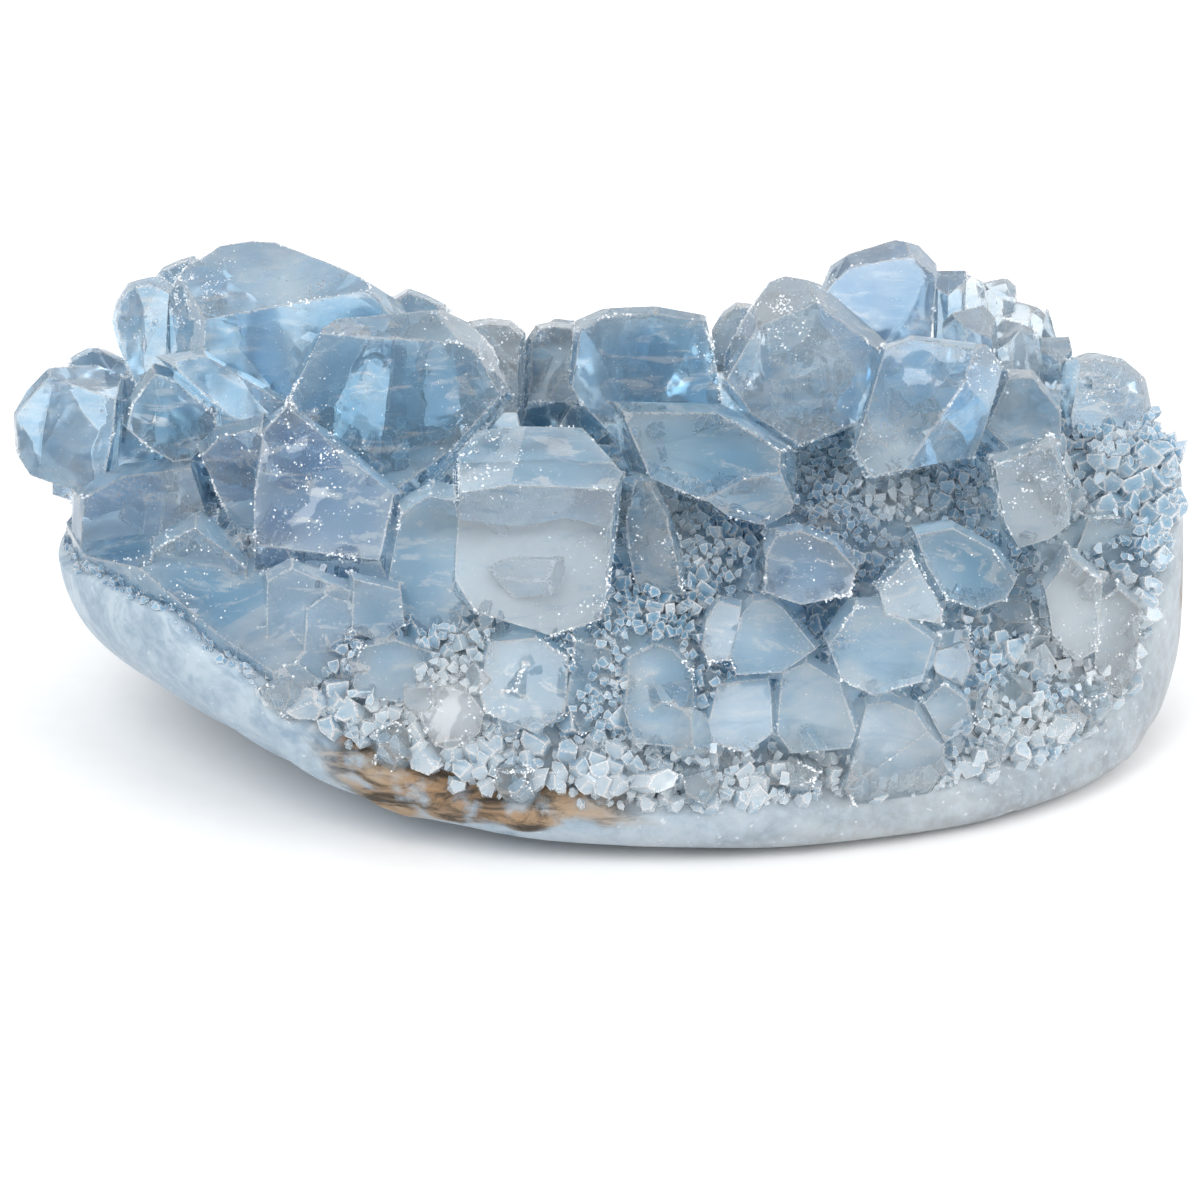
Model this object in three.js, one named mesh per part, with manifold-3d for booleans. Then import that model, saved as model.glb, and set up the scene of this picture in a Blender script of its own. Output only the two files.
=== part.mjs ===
// A celestite crystal cluster: a piece of geode wall with a ground, smooth rind underneath and at
// its sides, and blocky blue crystals grown together on its hollow side.
// Millimetres, +Z up, standing on the flat ground foot, with the low side of the rind at -Y.

import * as THREE from "three";
import { ConvexGeometry } from "three/addons/geometries/ConvexGeometry.js";
import { mergeVertices } from "three/addons/utils/BufferGeometryUtils.js";
import Module from "manifold-3d";

const wasm = await Module();
wasm.setup();

// The rind is an oval dish with a mass in its middle. Foot and rim are ovals.
const FOOT = { x: 18, y: -1, across: 33.5, deep: 25.6 };
const RIM = { x: 1.8, y: 2, across: 55.8, deep: 36 };
const WALL_BULGE = { left: 2.15, right: 2.9 }; // 1 is a straight slope, more is a fuller wall
const WALL_BELLY = 1.1; // how far the right wall swells beyond its rim
// The rim's height at bearings round the dish, 0 at the right and 90 at the back.
const RIM_HEIGHTS = [
  [0, 26], [25, 25.5], [55, 21], [85, 19], [120, 18], [150, 17.5], [180, 17.5], [192, 18.5],
  [205, 20.5], [217, 20.5], [227, 17], [236, 12.5], [246, 9], [260, 6.5], [280, 5.5], [300, 5],
  [320, 5], [334, 8], [343, 15], [351, 22], [360, 26],
];
const HOST_ROCK = { from: 228, to: 270, proud: 0.8 }; // a rough patch still stuck to the wall
const CREST_HEIGHT = 25.6; // top of the pale mass that carries the crystals
const RIND_STEPS = { round: 44, wall: 5, top: 4 };
const OVERHANG = { left: 5, right: 0.5 }; // how far a crystal may stand out over the rim
const LAYER = { thick: 2.4, reach: 0.985, round: 24, steps: 4 }; // clear layer the crystals share
const GAP = 0.3; // between that layer and the rind

// The large crystals look to the front, this far above the horizon. Their outlines are drawn in
// the plane square to that direction: x to the right, v up the plane, depth towards the front.
const FACING = THREE.MathUtils.degToRad(25);
const ACROSS = new THREE.Vector3(1, 0, 0);
const UP_PLANE = new THREE.Vector3(0, Math.sin(FACING), Math.cos(FACING));
const FRONT = new THREE.Vector3(0, -Math.cos(FACING), Math.sin(FACING));
// Outlines are drawn as seen from here, and are full size at the depth of their plane.
const EYE = { v: 11.3, depth: 505, plane: 5.3 };

const SADDLE = 38; // v of the skyline between the two heights, which the crystals behind stay under
const ROOTED = 40; // lean of an underside that runs down behind the crystals in front of it

// Celestite's own angles: how far its faces lean from the long axis or from the broad c faces.
const DOME_LEAN = THREE.MathUtils.degToRad(52);
const WEDGE_LEAN = THREE.MathUtils.degToRad(38);
const SLOPE_LEAN = THREE.MathUtils.degToRad(50.6);
const SAME_POINT = 0.02; // corners nearer than this are one corner

// Repeatable numbers from 0 to 1.
function dice(seed) {
  let state = (seed * 7919 + 17) % 4294967296;
  return () => {
    state = (state * 1664525 + 1013904223) % 4294967296;
    return state / 4294967296;
  };
}

// The point seen at (x, v) from the eye, at a depth.
function seenAt(x, v, depth) {
  const nearer = (EYE.depth - depth) / (EYE.depth - EYE.plane);
  return new THREE.Vector3()
    .addScaledVector(ACROSS, x * nearer)
    .addScaledVector(UP_PLANE, EYE.v + (v - EYE.v) * nearer)
    .addScaledVector(FRONT, depth);
}

// A direction by its bearing in the outline plane (0 right, 90 up) and its lean to the front.
function leaning(bearing, lean) {
  const b = THREE.MathUtils.degToRad(bearing);
  const l = THREE.MathUtils.degToRad(lean);
  return new THREE.Vector3()
    .addScaledVector(ACROSS, Math.cos(b) * Math.cos(l))
    .addScaledVector(UP_PLANE, Math.sin(b) * Math.cos(l))
    .addScaledVector(FRONT, Math.sin(l));
}

function planeThrough(normal, point) {
  return new THREE.Plane().setFromNormalAndCoplanarPoint(normal, point);
}

function toSolid(positions, triangles) {
  const vertProperties = new Float32Array(positions);
  const triVerts = new Uint32Array(triangles);
  return new wasm.Manifold(new wasm.Mesh({ numProp: 3, vertProperties, triVerts }));
}

function whereThreeMeet(p, q, r) {
  const qr = new THREE.Vector3().crossVectors(q.normal, r.normal);
  const scale = p.normal.dot(qr);
  if (Math.abs(scale) < 1e-4) return null;
  return qr
    .multiplyScalar(-p.constant)
    .addScaledVector(new THREE.Vector3().crossVectors(r.normal, p.normal), -q.constant)
    .addScaledVector(new THREE.Vector3().crossVectors(p.normal, q.normal), -r.constant)
    .divideScalar(scale);
}

// The closed solid inside a set of planes whose normals face outwards: the hull of the corners
// where three planes meet and no other plane cuts them off.
function solidInside(planes) {
  const corners = [];
  for (let a = 0; a < planes.length; a++)
    for (let b = a + 1; b < planes.length; b++)
      for (let c = b + 1; c < planes.length; c++) {
        const corner = whereThreeMeet(planes[a], planes[b], planes[c]);
        if (!corner || planes.some((p) => p.distanceToPoint(corner) > 1e-6)) continue;
        if (corners.some((k) => k.distanceTo(corner) < SAME_POINT)) continue;
        corners.push(corner);
      }
  const hull = new ConvexGeometry(corners);
  const merged = mergeVertices(hull.deleteAttribute("normal"), 1e-4);
  return toSolid(merged.getAttribute("position").array, merged.index.array);
}

// A large crystal. face is the bearing and lean of its main face at a depth. ridge goes round
// that face anticlockwise, with the lean to the front of the facet beyond each side. reach
// bounds the whole crystal: without it the ridge does, and its leaning facets start inside it.
// root is how far back its rear faces meet.
function drawnCrystal({ depth, face, root = 14, ridge, reach = [] }) {
  const mean = (k) => ridge.reduce((sum, corner) => sum + corner[k] / ridge.length, 0);
  const inward = reach.length ? 0 : 0.2;
  const middle = seenAt(mean(0), mean(1), depth);
  const main = planeThrough(leaning(...face), middle);
  const planes = [main];
  const onMain = ([x, v]) => {
    const point = seenAt(x, v, depth);
    const slide = -main.distanceToPoint(point) / main.normal.dot(FRONT);
    return point.addScaledVector(FRONT, slide);
  };
  for (const ring of [ridge, reach])
    ring.forEach((corner, i) => {
      const start = onMain(corner);
      const along = onMain(ring[(i + 1) % ring.length]).sub(start).normalize();
      const out = new THREE.Vector3().crossVectors(along, FRONT).normalize();
      const toFront = new THREE.Vector3().crossVectors(out, along);
      const lean = THREE.MathUtils.degToRad(corner[2] ?? 0);
      if (lean > 0 && inward > 0 && corner[2] !== ROOTED) {
        planes.push(planeThrough(out.clone(), start));
        start.lerp(middle, inward);
      }
      const normal = out.multiplyScalar(Math.cos(lean)).addScaledVector(toFront, Math.sin(lean));
      planes.push(planeThrough(normal, start));
    });
  const tail = middle.clone().addScaledVector(FRONT, -root);
  planes.push(planeThrough(leaning(90, -56), tail));
  const outline = (reach.length ? reach : ridge).map(onMain);
  for (const bearing of [12, 168]) {
    const out = leaning(bearing, 0);
    const far = Math.max(...outline.map((point) => point.clone().sub(middle).dot(out)));
    planes.push(planeThrough(leaning(bearing, -48), tail.clone().addScaledVector(out, far * 0.45)));
  }
  const aside = new THREE.Vector2((middle.x - RIM.x) / RIM.across, (middle.y - RIM.y) / RIM.deep);
  const heel = moundPoint(aside.angle(), Math.min(aside.length(), 1)).z - 4;
  planes.push(planeThrough(new THREE.Vector3(0, 0, -1), new THREE.Vector3(0, 0, heel)));
  return solidInside(planes);
}

// A crystal in celestite's own form: a prism with two broad c faces, domes along its sides and a
// chisel at its tip, which a large one also has cut back. wide, thick and long are half sizes
// from its middle, root goes the other way.
function grownCrystal({ at, along, turn, wide, thick, long, root, seed, large = false }) {
  const roll = dice(seed);
  const wobble = (amount) => (roll() * 2 - 1) * amount;
  const grow = along.clone().normalize();
  const flat = new THREE.Vector3(Math.cos(turn), Math.sin(turn), 0.25);
  flat.addScaledVector(grow, -flat.dot(grow)).normalize();
  const side = new THREE.Vector3().crossVectors(flat, grow).normalize();
  const planes = [];
  const addFace = (from, to, angle, distance) => {
    const normal = from.clone().multiplyScalar(Math.cos(angle)).addScaledVector(to, Math.sin(angle));
    normal.add(new THREE.Vector3(wobble(0.04), wobble(0.04), wobble(0.04))).normalize();
    const through = at.clone().addScaledVector(normal, distance * (1 + wobble(0.08)));
    planes.push(planeThrough(normal, through));
  };
  for (const s of [1, -1]) {
    const flatSide = flat.clone().multiplyScalar(s);
    const wideSide = side.clone().multiplyScalar(s);
    addFace(flatSide, grow, 0, thick);
    addFace(flatSide, side, DOME_LEAN, 0.83 * wide);
    addFace(flatSide, side, -DOME_LEAN, 0.83 * wide);
    addFace(grow, wideSide, WEDGE_LEAN, long * Math.cos(WEDGE_LEAN));
    if (large) addFace(wideSide, grow, 0, wide);
    if (large) addFace(grow, flatSide, SLOPE_LEAN, long * Math.cos(SLOPE_LEAN) + 0.45 * thick);
  }
  const heel = at.clone().addScaledVector(grow, -root);
  planes.push(planeThrough(grow.clone().negate(), heel));
  return solidInside(planes);
}

// Height of the dish's rim at a bearing, easing from each typed height to the next.
function rimHeight(bearing) {
  const degrees = THREE.MathUtils.euclideanModulo(THREE.MathUtils.radToDeg(bearing), 360);
  const next = RIM_HEIGHTS.findIndex(([at]) => at > degrees);
  const [from, low] = RIM_HEIGHTS[next - 1];
  const [to, high] = RIM_HEIGHTS[next];
  return THREE.MathUtils.lerp(low, high, THREE.MathUtils.smoothstep(degrees, from, to));
}

// A point of the pale mass's upper surface: out is 1 at the rim and 0 at the crest.
function moundPoint(bearing, out, more = 0) {
  const lumps = Math.sin(7 * bearing + 9 * out) + Math.sin(11 * bearing - 13 * out);
  const height = THREE.MathUtils.lerp(CREST_HEIGHT, rimHeight(bearing), Math.pow(out, 2.5));
  return new THREE.Vector3(
    RIM.x + (RIM.across + more) * out * Math.cos(bearing),
    RIM.y + (RIM.deep + more) * out * Math.sin(bearing),
    height + 1.4 * lumps * out * (1 - out) + more,
  );
}

// How far the patch of host rock stands out of the wall.
function hostRock(bearing, up) {
  const degrees = THREE.MathUtils.euclideanModulo(THREE.MathUtils.radToDeg(bearing), 360);
  const across = (degrees - HOST_ROCK.from) / (HOST_ROCK.to - HOST_ROCK.from);
  if (across < 0 || across > 1) return 0;
  return HOST_ROCK.proud * Math.sin(Math.PI * across) * Math.sin(Math.PI * Math.min(1, up * 1.2));
}

// A point of the ground outer wall: up is 0 at the foot and 1 at the rim.
function wallPoint(bearing, up, more = 0) {
  const { lerp } = THREE.MathUtils;
  const toRight = (1 + Math.cos(bearing)) / 2;
  const power = lerp(WALL_BULGE.left, WALL_BULGE.right, toRight);
  const bulge = 1 - Math.pow(1 - up, power);
  const belly = WALL_BELLY * Math.sin(Math.PI * up) * Math.pow(toRight, 3);
  const rim = moundPoint(bearing, 1, more);
  const out = belly + hostRock(bearing, up);
  return new THREE.Vector3(
    lerp(FOOT.x + (FOOT.across + more) * Math.cos(bearing), rim.x, bulge) + out * Math.cos(bearing),
    lerp(FOOT.y + (FOOT.deep + more) * Math.sin(bearing), rim.y, bulge) + out * Math.sin(bearing),
    lerp(-more, rim.z, Math.pow(up, 1 + 0.35 * (power - 1))),
  );
}

// A solid of rings of points from its lowest to its highest, closed by a point at each end.
function ringSolid(rings, low, high) {
  const round = rings[0].length;
  const positions = rings.flat().flatMap((point) => point.toArray());
  const under = positions.push(...low.toArray()) / 3 - 1;
  const over = positions.push(...high.toArray()) / 3 - 1;
  const triangles = [];
  for (let j = 0; j < round; j++) {
    const k = (j + 1) % round;
    triangles.push(under, k, j);
    for (let i = 0; i + 1 < rings.length; i++) {
      const lower = i * round;
      const upper = lower + round;
      triangles.push(lower + j, lower + k, upper + k, lower + j, upper + k, upper + j);
    }
    const last = (rings.length - 1) * round;
    triangles.push(last + j, last + k, over);
  }
  return toSolid(positions, triangles);
}

function ringOf(pointAt, round) {
  return Array.from({ length: round }, (_, j) => pointAt((2 * Math.PI * j) / round, j));
}

// The rind from the middle of its foot over the wall and the rim to the crest, or a little more.
function rindBody(more = 0) {
  const { round, wall, top } = RIND_STEPS;
  const rings = [];
  for (let i = 0; i <= wall; i++) rings.push(ringOf((b) => wallPoint(b, i / wall, more), round));
  for (let i = 1; i < top; i++) rings.push(ringOf((b) => moundPoint(b, 1 - i / top, more), round));
  const under = new THREE.Vector3(FOOT.x, FOOT.y, -more);
  return ringSolid(rings, under, new THREE.Vector3(RIM.x, RIM.y, CREST_HEIGHT + more));
}

// Where crystals can be: they are ground off flush with the wall, and overhang the rim a little.
function crystalRoom() {
  const { round, wall } = RIND_STEPS;
  const rings = [];
  for (let i = 0; i <= wall; i++) rings.push(ringOf((b) => wallPoint(b, i / wall), round));
  for (const rise of [2.5, 60]) {
    const above = (b) => {
      const rim = moundPoint(b, 1);
      const overhang = THREE.MathUtils.lerp(OVERHANG.left, OVERHANG.right, (1 + Math.cos(b)) / 2);
      const spread = 1 + overhang / RIM.across;
      rim.x = RIM.x + (rim.x - RIM.x) * spread;
      rim.y = RIM.y + (rim.y - RIM.y) * spread;
      rim.z += rise;
      return rim;
    };
    rings.push(ringOf(above, round));
  }
  const under = new THREE.Vector3(FOOT.x, FOOT.y, 0);
  return ringSolid(rings, under, new THREE.Vector3(RIM.x, RIM.y, 90));
}

const DRAWN = [
  // the pale block in front, with its frosted upper left facet
  {
    depth: 33, face: [262, 78], root: 16,
    ridge: [
      [-14.7, 13.3, 22], [-12.5, 10.1, 0], [-5, 7.7, 0], [0, 9.3, 8], [0.7, 12.3, 12],
      [1.5, 22.3, 36], [-9, 22.8, 34], [-14, 22, 6],
    ],
    reach: [
      [-15, 12], [-12.5, 9.5, 0], [-5, 7.4, 0], [0.4, 9], [2.3, 24], [-1.8, 28.8], [-12, 29],
      [-14.6, 26], [-15.2, 22],
    ],
  },
  // the pale crystal at its left
  {
    depth: 30, face: [205, 72],
    ridge: [
      [-21.5, 16.3, 0], [-21, 11.3, 0], [-18, 7.8, 0], [-14.5, 7.3, 0], [-13.5, 11, 0],
      [-14.5, 22.8, 30], [-17, 23.3, 20], [-20.5, 21.3, 10],
    ],
  },
  // the broad clear slab left of the middle
  {
    depth: 25, face: [300, 80], root: 16,
    ridge: [
      [-29, 27.8, 8], [-25.5, 24.3, ROOTED], [-20.5, 22.3, ROOTED], [-15, 26.3, 5], [-10, 31.8, 18],
      [-12.5, 36.3, 25], [-14, 37, 40], [-27.8, 37.9, 12], [-31, 31.5, 14],
    ],
    reach: [
      [-31.4, 31], [-25.5, 23.5, ROOTED], [-20.5, 21.8, ROOTED], [-14.3, 25.8], [-8.8, 31.5], [-11, 37],
      [-13.5, 39.4], [-16, 40.6], [-26.5, 39.4], [-30, 36.5],
    ],
  },
  // the small crystal behind the slab's top
  {
    depth: 16, face: [80, 60],
    ridge: [
      [-22, 35, ROOTED], [-15, 35, 0], [-15.5, 41, 20], [-17.5, 42, 20], [-19.7, 42.8, 10],
      [-21.2, 41.8, 0],
    ],
  },
  // the left peak, whose upper face meets its front face in a long bright ridge
  {
    depth: 21, face: [285, 76], root: 17,
    ridge: [
      [-39.7, 36.3, ROOTED], [-31, 31.3, ROOTED], [-20, 38.8, 20], [-23, 42.3, 40], [-39.5, 39.3, 26],
    ],
    reach: [
      [-45, 34, ROOTED], [-40, 29, ROOTED], [-25, 29, ROOTED], [-18.5, 38], [-20, 41.2], [-25.5, 44.5],
      [-33, 47.6], [-35.5, 47.8], [-38.7, 47.3], [-42, 45], [-44.6, 41.3],
    ],
  },
  // the prism that slants down below the left peak
  {
    depth: 23, face: [235, 72],
    ridge: [
      [-44.8, 35.8, 10], [-42.5, 33.8, 0], [-38.5, 30.2, 0], [-33.8, 28.3, 0], [-30, 29.3, 0],
      [-31, 31.3, 15], [-40, 36.6, 25],
    ],
  },
  // the whitish knob behind the left shoulder, and a piece behind it
  {
    depth: 12, face: [170, 64],
    ridge: [
      [-49.1, 39.3, 20], [-48.5, 37, 0], [-46.5, 33, ROOTED], [-43.5, 33, ROOTED], [-43, 43, 30],
      [-44.8, 43.8, 30], [-47.5, 43.2, 20], [-48.7, 41.3, 20],
    ],
  },
  {
    depth: 7, face: [100, 60],
    ridge: [
      [-45, 38, ROOTED], [-40, 38, ROOTED], [-39.5, 45, 20], [-41, 46.1, 20], [-44, 44.8, 20],
      [-45.2, 43, 0],
    ],
  },
  // the two outer crystals at the left end
  {
    depth: 14, face: [228, 72],
    ridge: [
      [-58.3, 25.5, 0], [-57.2, 23.8, 0], [-53, 22.3, 0], [-50, 22, 0], [-48.5, 28.1, 0],
      [-48.2, 31.3, 35], [-55, 33.6, 30], [-58.6, 29.8, 15],
    ],
    reach: [
      [-58.9, 25], [-57.2, 23.5], [-53, 22], [-46, 22], [-46.5, 33], [-50.5, 35],
      [-55.2, 34.5], [-57.5, 32.3], [-58.9, 29.8],
    ],
  },
  {
    depth: 9, face: [95, 58],
    ridge: [
      [-54.5, 32, ROOTED], [-45, 31, ROOTED], [-45.3, 34.3, 10], [-47.5, 35.4, 20], [-48.5, 36.6, 30],
      [-51.5, 36.6, 25], [-54, 35.3, 10],
    ],
  },
  // the dark cheek crystal below the knob
  {
    depth: 20, face: [215, 74],
    ridge: [
      [-48.5, 28.1, 0], [-45, 26.3, 0], [-43.5, 25, 0], [-41, 25.3, 0], [-38.2, 28.3, 0],
      [-38.5, 31, 20], [-42.5, 34.3, 25], [-44.8, 35.1, 25], [-47.8, 31.3, 15],
    ],
  },
  // the narrow dark column beside it
  {
    depth: 25, face: [225, 68],
    ridge: [
      [-40.5, 26.8, 0], [-37.2, 19.3, 0], [-34.8, 15.3, 0], [-34, 16, 0], [-33.6, 29.9, 30],
      [-38.5, 28.7, 30],
    ],
  },
  // the violet block with its frosted front
  {
    depth: 28, face: [90, 80], root: 16,
    ridge: [
      [-34.5, 16.8, 38], [-22, 15.3, 20], [-20.6, 21.8, 20], [-31.5, 30.8, 20], [-33.8, 28.3, 10],
      [-34.7, 21.3, 6],
    ],
    reach: [
      [-34.8, 12], [-33, 6.5, 0], [-24, 7, 0], [-20, 14], [-19.8, 22], [-31, 31.5],
      [-34.5, 29],
    ],
  },
  // two dark blocks under it
  {
    depth: 30.5, face: [255, 72],
    ridge: [
      [-34.3, 8, 0], [-30, 6, 0], [-25.5, 7.5, 0], [-24.8, 13, 35], [-31, 15.5, 35], [-34.2, 14, 10],
    ],
  },
  {
    depth: 31, face: [300, 72],
    ridge: [[-25.5, 8.5, 0], [-22, 7, 0], [-19.6, 8.8, 0], [-20, 13, 30], [-25.2, 14.2, 20]],
  },
  // the two ground-down crystals of the left flank
  {
    depth: 17, face: [222, 62],
    ridge: [
      [-54, 12.3, 0], [-48, 9.3, 0], [-41, 12.3, 0], [-39, 19.3, 0], [-41, 25.8, 20],
      [-48, 25, 25], [-53.3, 22.3, 20],
    ],
  },
  {
    depth: 24, face: [240, 60],
    ridge: [
      [-47, 11.3, 0], [-45, 6.3, 0], [-40, 3.5, 0], [-35.5, 6.3, 0], [-35, 16.3, 20],
      [-40, 20.3, 25], [-45.5, 17.3, 10],
    ],
  },
  // the grey, white and rounded crystals low at the left, over the ground wall
  {
    depth: 29, face: [230, 70],
    ridge: [[-35, 3.8, 0], [-30, 4, 0], [-29.3, 7.3, 20], [-31.5, 9.6, 25], [-35, 9, 15]],
  },
  {
    depth: 30.5, face: [265, 72],
    ridge: [
      [-30.3, 6.5, 0], [-27, 4.3, 0], [-24, 7, 10], [-24.4, 11.6, 25], [-27.5, 12.6, 25],
      [-30, 10.8, 15],
    ],
  },
  {
    depth: 31.5, face: [80, 70],
    ridge: [
      [-25.5, 4, 0], [-24, 1.5, 0], [-18, 1, 0], [-15, 3.4, 10], [-16, 6.6, 25], [-20.5, 8, 30],
      [-25, 7, 20],
    ],
  },
  {
    depth: 30, face: [215, 72],
    ridge: [
      [-35.5, 1.8, 10], [-34.4, -0.5, 0], [-30, -1.6, 0], [-27, -0.4, 0], [-27, 3.4, 20],
      [-30, 5.8, 25], [-33, 5.2, 20],
    ],
  },
  {
    depth: 33.2, face: [95, 74],
    ridge: [
      [-18.9, -0.3, 10], [-17.6, -2.8, 0], [-14.5, -3.9, 0], [-12, -1.9, 0], [-11.4, 1, 20],
      [-13.4, 3.5, 25], [-15.8, 3.5, 25], [-18.6, 1.4, 20],
    ],
  },
  // the crystals of the saddle, far back between the two heights
  {
    depth: 12, face: [60, 66],
    ridge: [
      [-14, 30, ROOTED], [-8, 30, ROOTED], [-7.7, 34.3, 10], [-7.6, 38.3, 20], [-9, 39.5, 20],
      [-11.5, 39.7, 20], [-13.5, 39.3, 10],
    ],
  },
  {
    depth: 6, face: [110, 62],
    ridge: [
      [-7.8, 31, ROOTED], [-2, 31, ROOTED], [-1.8, 37, 20], [-2.5, 39.1, 20], [-5, 39.3, 20],
      [-6.5, 39, 20], [-7.5, 37.5, 10],
    ],
  },
  // the deep blue block right of the middle and the brighter one under it
  {
    depth: 23, face: [265, 80], root: 16,
    ridge: [
      [-3, 32, 0], [0, 29, ROOTED], [12.5, 29, 0], [11.2, 36.8, 15], [10.2, 39.2, 38],
      [5.5, 39.9, 42], [0.2, 39.6, 20], [-2, 38.3, 15],
    ],
    reach: [
      [-3.2, 33], [0, 28, ROOTED], [13, 28], [10.5, 39.8], [5.5, 40.7], [0.2, 40.5],
      [-2.6, 39.4],
    ],
  },
  {
    depth: 27, face: [75, 70], root: 18,
    ridge: [
      [3, 24.3, 0], [6.5, 22.8, 0], [10, 21.3, 0], [16.5, 19.3, 0], [19.5, 21.3, 15],
      [20, 26.3, 15], [16.5, 28.8, 20], [12.2, 31.1, 30], [0, 31.3, 15], [1, 28.8, 10],
    ],
  },
  {
    depth: 29, face: [262, 70],
    ridge: [
      [10, 21.8, 0], [12.5, 19.8, 0], [16.5, 18.7, 0], [19, 20.1, 0], [19.8, 21.8, 15],
      [18.5, 24.8, 30], [14, 23.8, 30],
    ],
  },
  // the angular crystal in the middle of the right half, with a piece behind its left shoulder
  {
    depth: 22, face: [292, 76], root: 16,
    ridge: [
      [12.5, 33.3, 6], [15, 30, 0], [20, 26.8, 0], [26.8, 29.5, 12], [28.3, 36, 26],
      [21.5, 41, 42], [15.5, 38.5, 25],
    ],
    reach: [
      [12.3, 33], [15, 29.5, 0], [20, 26.4, 0], [27.2, 29.2], [28.8, 37.3], [22, 43.1],
      [18.5, 43.9], [17, 43.3], [14, 39], [12.6, 36],
    ],
  },
  {
    depth: 14, face: [115, 62],
    ridge: [
      [11, 34, ROOTED], [16.5, 34, 0], [16.3, 40.9, 20], [13.7, 41.3, 20], [12.3, 40.3, 20],
      [11.2, 38.5, 0],
    ],
  },
  // the high crystal at the back
  {
    depth: 9, face: [262, 72],
    ridge: [
      [21, 40, ROOTED], [26, 34, ROOTED], [33, 36, 0], [33.6, 43.5, 25], [31, 45.6, 40], [25, 44.6, 35],
      [23.2, 43, 15],
    ],
    reach: [
      [21, 40], [26, 34, ROOTED], [33, 35], [33.8, 44.9], [32, 46.9], [29.5, 47.4], [25, 46],
      [23.2, 45],
    ],
  },
  // the leaning slab at the right, two broad faces meeting in a white edge
  {
    depth: 26, face: [172, 70], root: 16,
    ridge: [
      [25.5, 26.3, 0], [27.2, 23.6, 0], [30.5, 24.3, 36], [36.3, 33, 34], [37.5, 36.3, 30],
      [31, 37.4, 20], [28.5, 36.5, 8],
    ],
    reach: [
      [25.2, 26], [27, 23.3, 0], [30.5, 20.8, 0], [35, 19.3, 0], [36.5, 19.8], [38.5, 27.3],
      [41.3, 33.8], [40, 35.3], [38.5, 36.8], [31, 37.9], [28.4, 37],
    ],
  },
  // the frosted crystals beyond the slab
  {
    depth: 23, face: [225, 72],
    ridge: [
      [39.3, 25.8, 0], [40.5, 19, 0], [42, 16.5, 0], [45, 17.3, 0], [47, 18.8, 0],
      [47.3, 21.3, 15], [46.5, 25, 25], [45.2, 27.8, 30], [42.5, 27, 25],
    ],
  },
  {
    depth: 18, face: [70, 66],
    ridge: [[38, 29, 0], [41, 26, 0], [46, 27, 0], [46.2, 31, 20], [43.5, 34.5, 25], [40.5, 34.5, 15]],
  },
  // the outer crystals at the right end
  {
    depth: 7, face: [40, 62],
    ridge: [
      [46.5, 32, 0], [47, 28, ROOTED], [54, 27, 0], [55.6, 30, 20], [55, 33.6, 25],
      [52.5, 35.6, 25], [49, 36.3, 20], [47.3, 35.6, 10],
    ],
  },
  {
    depth: 10, face: [352, 66],
    ridge: [
      [49, 27, 0], [50, 19, 0], [56, 18.3, 0], [57.4, 23.3, 20], [57, 27, 20], [55.5, 29, 25],
    ],
  },
  {
    depth: 15, face: [320, 66],
    ridge: [
      [47, 17.3, 0], [47.8, 13.8, 0], [55.5, 13, 0], [56.6, 18, 15], [52, 20.3, 25],
      [48, 20, 20],
    ],
  },
  // the long striated crystals in the dark hollow under the slab
  {
    depth: 27, face: [65, 66],
    ridge: [
      [31.2, 18.8, 0], [32.5, 14.8, 0], [34.5, 11.3, 0], [37.5, 10.3, 0], [40.5, 11.3, 0],
      [42, 13.8, 20], [40, 16.8, 25], [35, 19.5, 20],
    ],
  },
  // the pale post beside the front block
  {
    depth: 29, face: [195, 74],
    ridge: [
      [2.4, 20.5, 0], [2.8, 16, 0], [3.6, 12.3, 28], [11, 11.5, 25], [6.8, 19.3, 15], [6.2, 22.3, 20],
      [4.5, 23.1, 20],
    ],
    reach: [[2.2, 18], [3.6, 8.5, 0], [9, 6.2, 0], [11.4, 11], [7, 20], [6, 23.2], [3.6, 23.2]],
  },
  // the stubby crystals of the front slope, right of the middle
  {
    depth: 31, face: [55, 70],
    ridge: [
      [15.3, 12.3, 0], [20, 10.8, 0], [25, 11.8, 0], [26, 15.3, 20], [24, 17.5, 30],
      [20, 19, 30], [17, 18.5, 25], [15.5, 15.8, 10],
    ],
  },
  {
    depth: 30, face: [10, 68],
    ridge: [
      [27.5, 12.8, 0], [28.5, 9.8, 0], [34.3, 8.8, 0], [34.2, 11.3, 15], [31.2, 16.3, 20],
      [30.3, 15.8, 20],
    ],
  },
  {
    depth: 32.3, face: [85, 68],
    ridge: [
      [12.5, 6.3, 0], [13.5, 3.8, 0], [18, 4, 0], [22.2, 6.8, 10], [19, 10.8, 20],
      [17.3, 12.1, 30], [15, 11.9, 25], [13.4, 10, 10],
    ],
  },
  {
    depth: 31.5, face: [150, 68],
    ridge: [
      [9.8, 6.8, 0], [11, 5, 0], [13.3, 5.3, 0], [14.2, 11.3, 25], [11.8, 11.9, 25],
      [10.3, 9.8, 10],
    ],
  },
  {
    depth: 32, face: [72, 66],
    ridge: [
      [22.3, 7.8, 0], [24, 3.3, 0], [27, 1.8, 0], [33.5, 3.3, 10], [34.8, 7.3, 20],
      [31, 10, 25], [28, 11.6, 25], [25, 11.6, 20],
    ],
  },
  {
    depth: 33, face: [120, 70],
    ridge: [
      [10.4, 0, 0], [11.3, -3, 0], [14.5, -4, 0], [17.2, -2, 0], [17, 4.3, 25], [14, 3.9, 30],
      [11.2, 3.4, 20],
    ],
  },
  {
    depth: 33.3, face: [70, 70],
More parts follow.
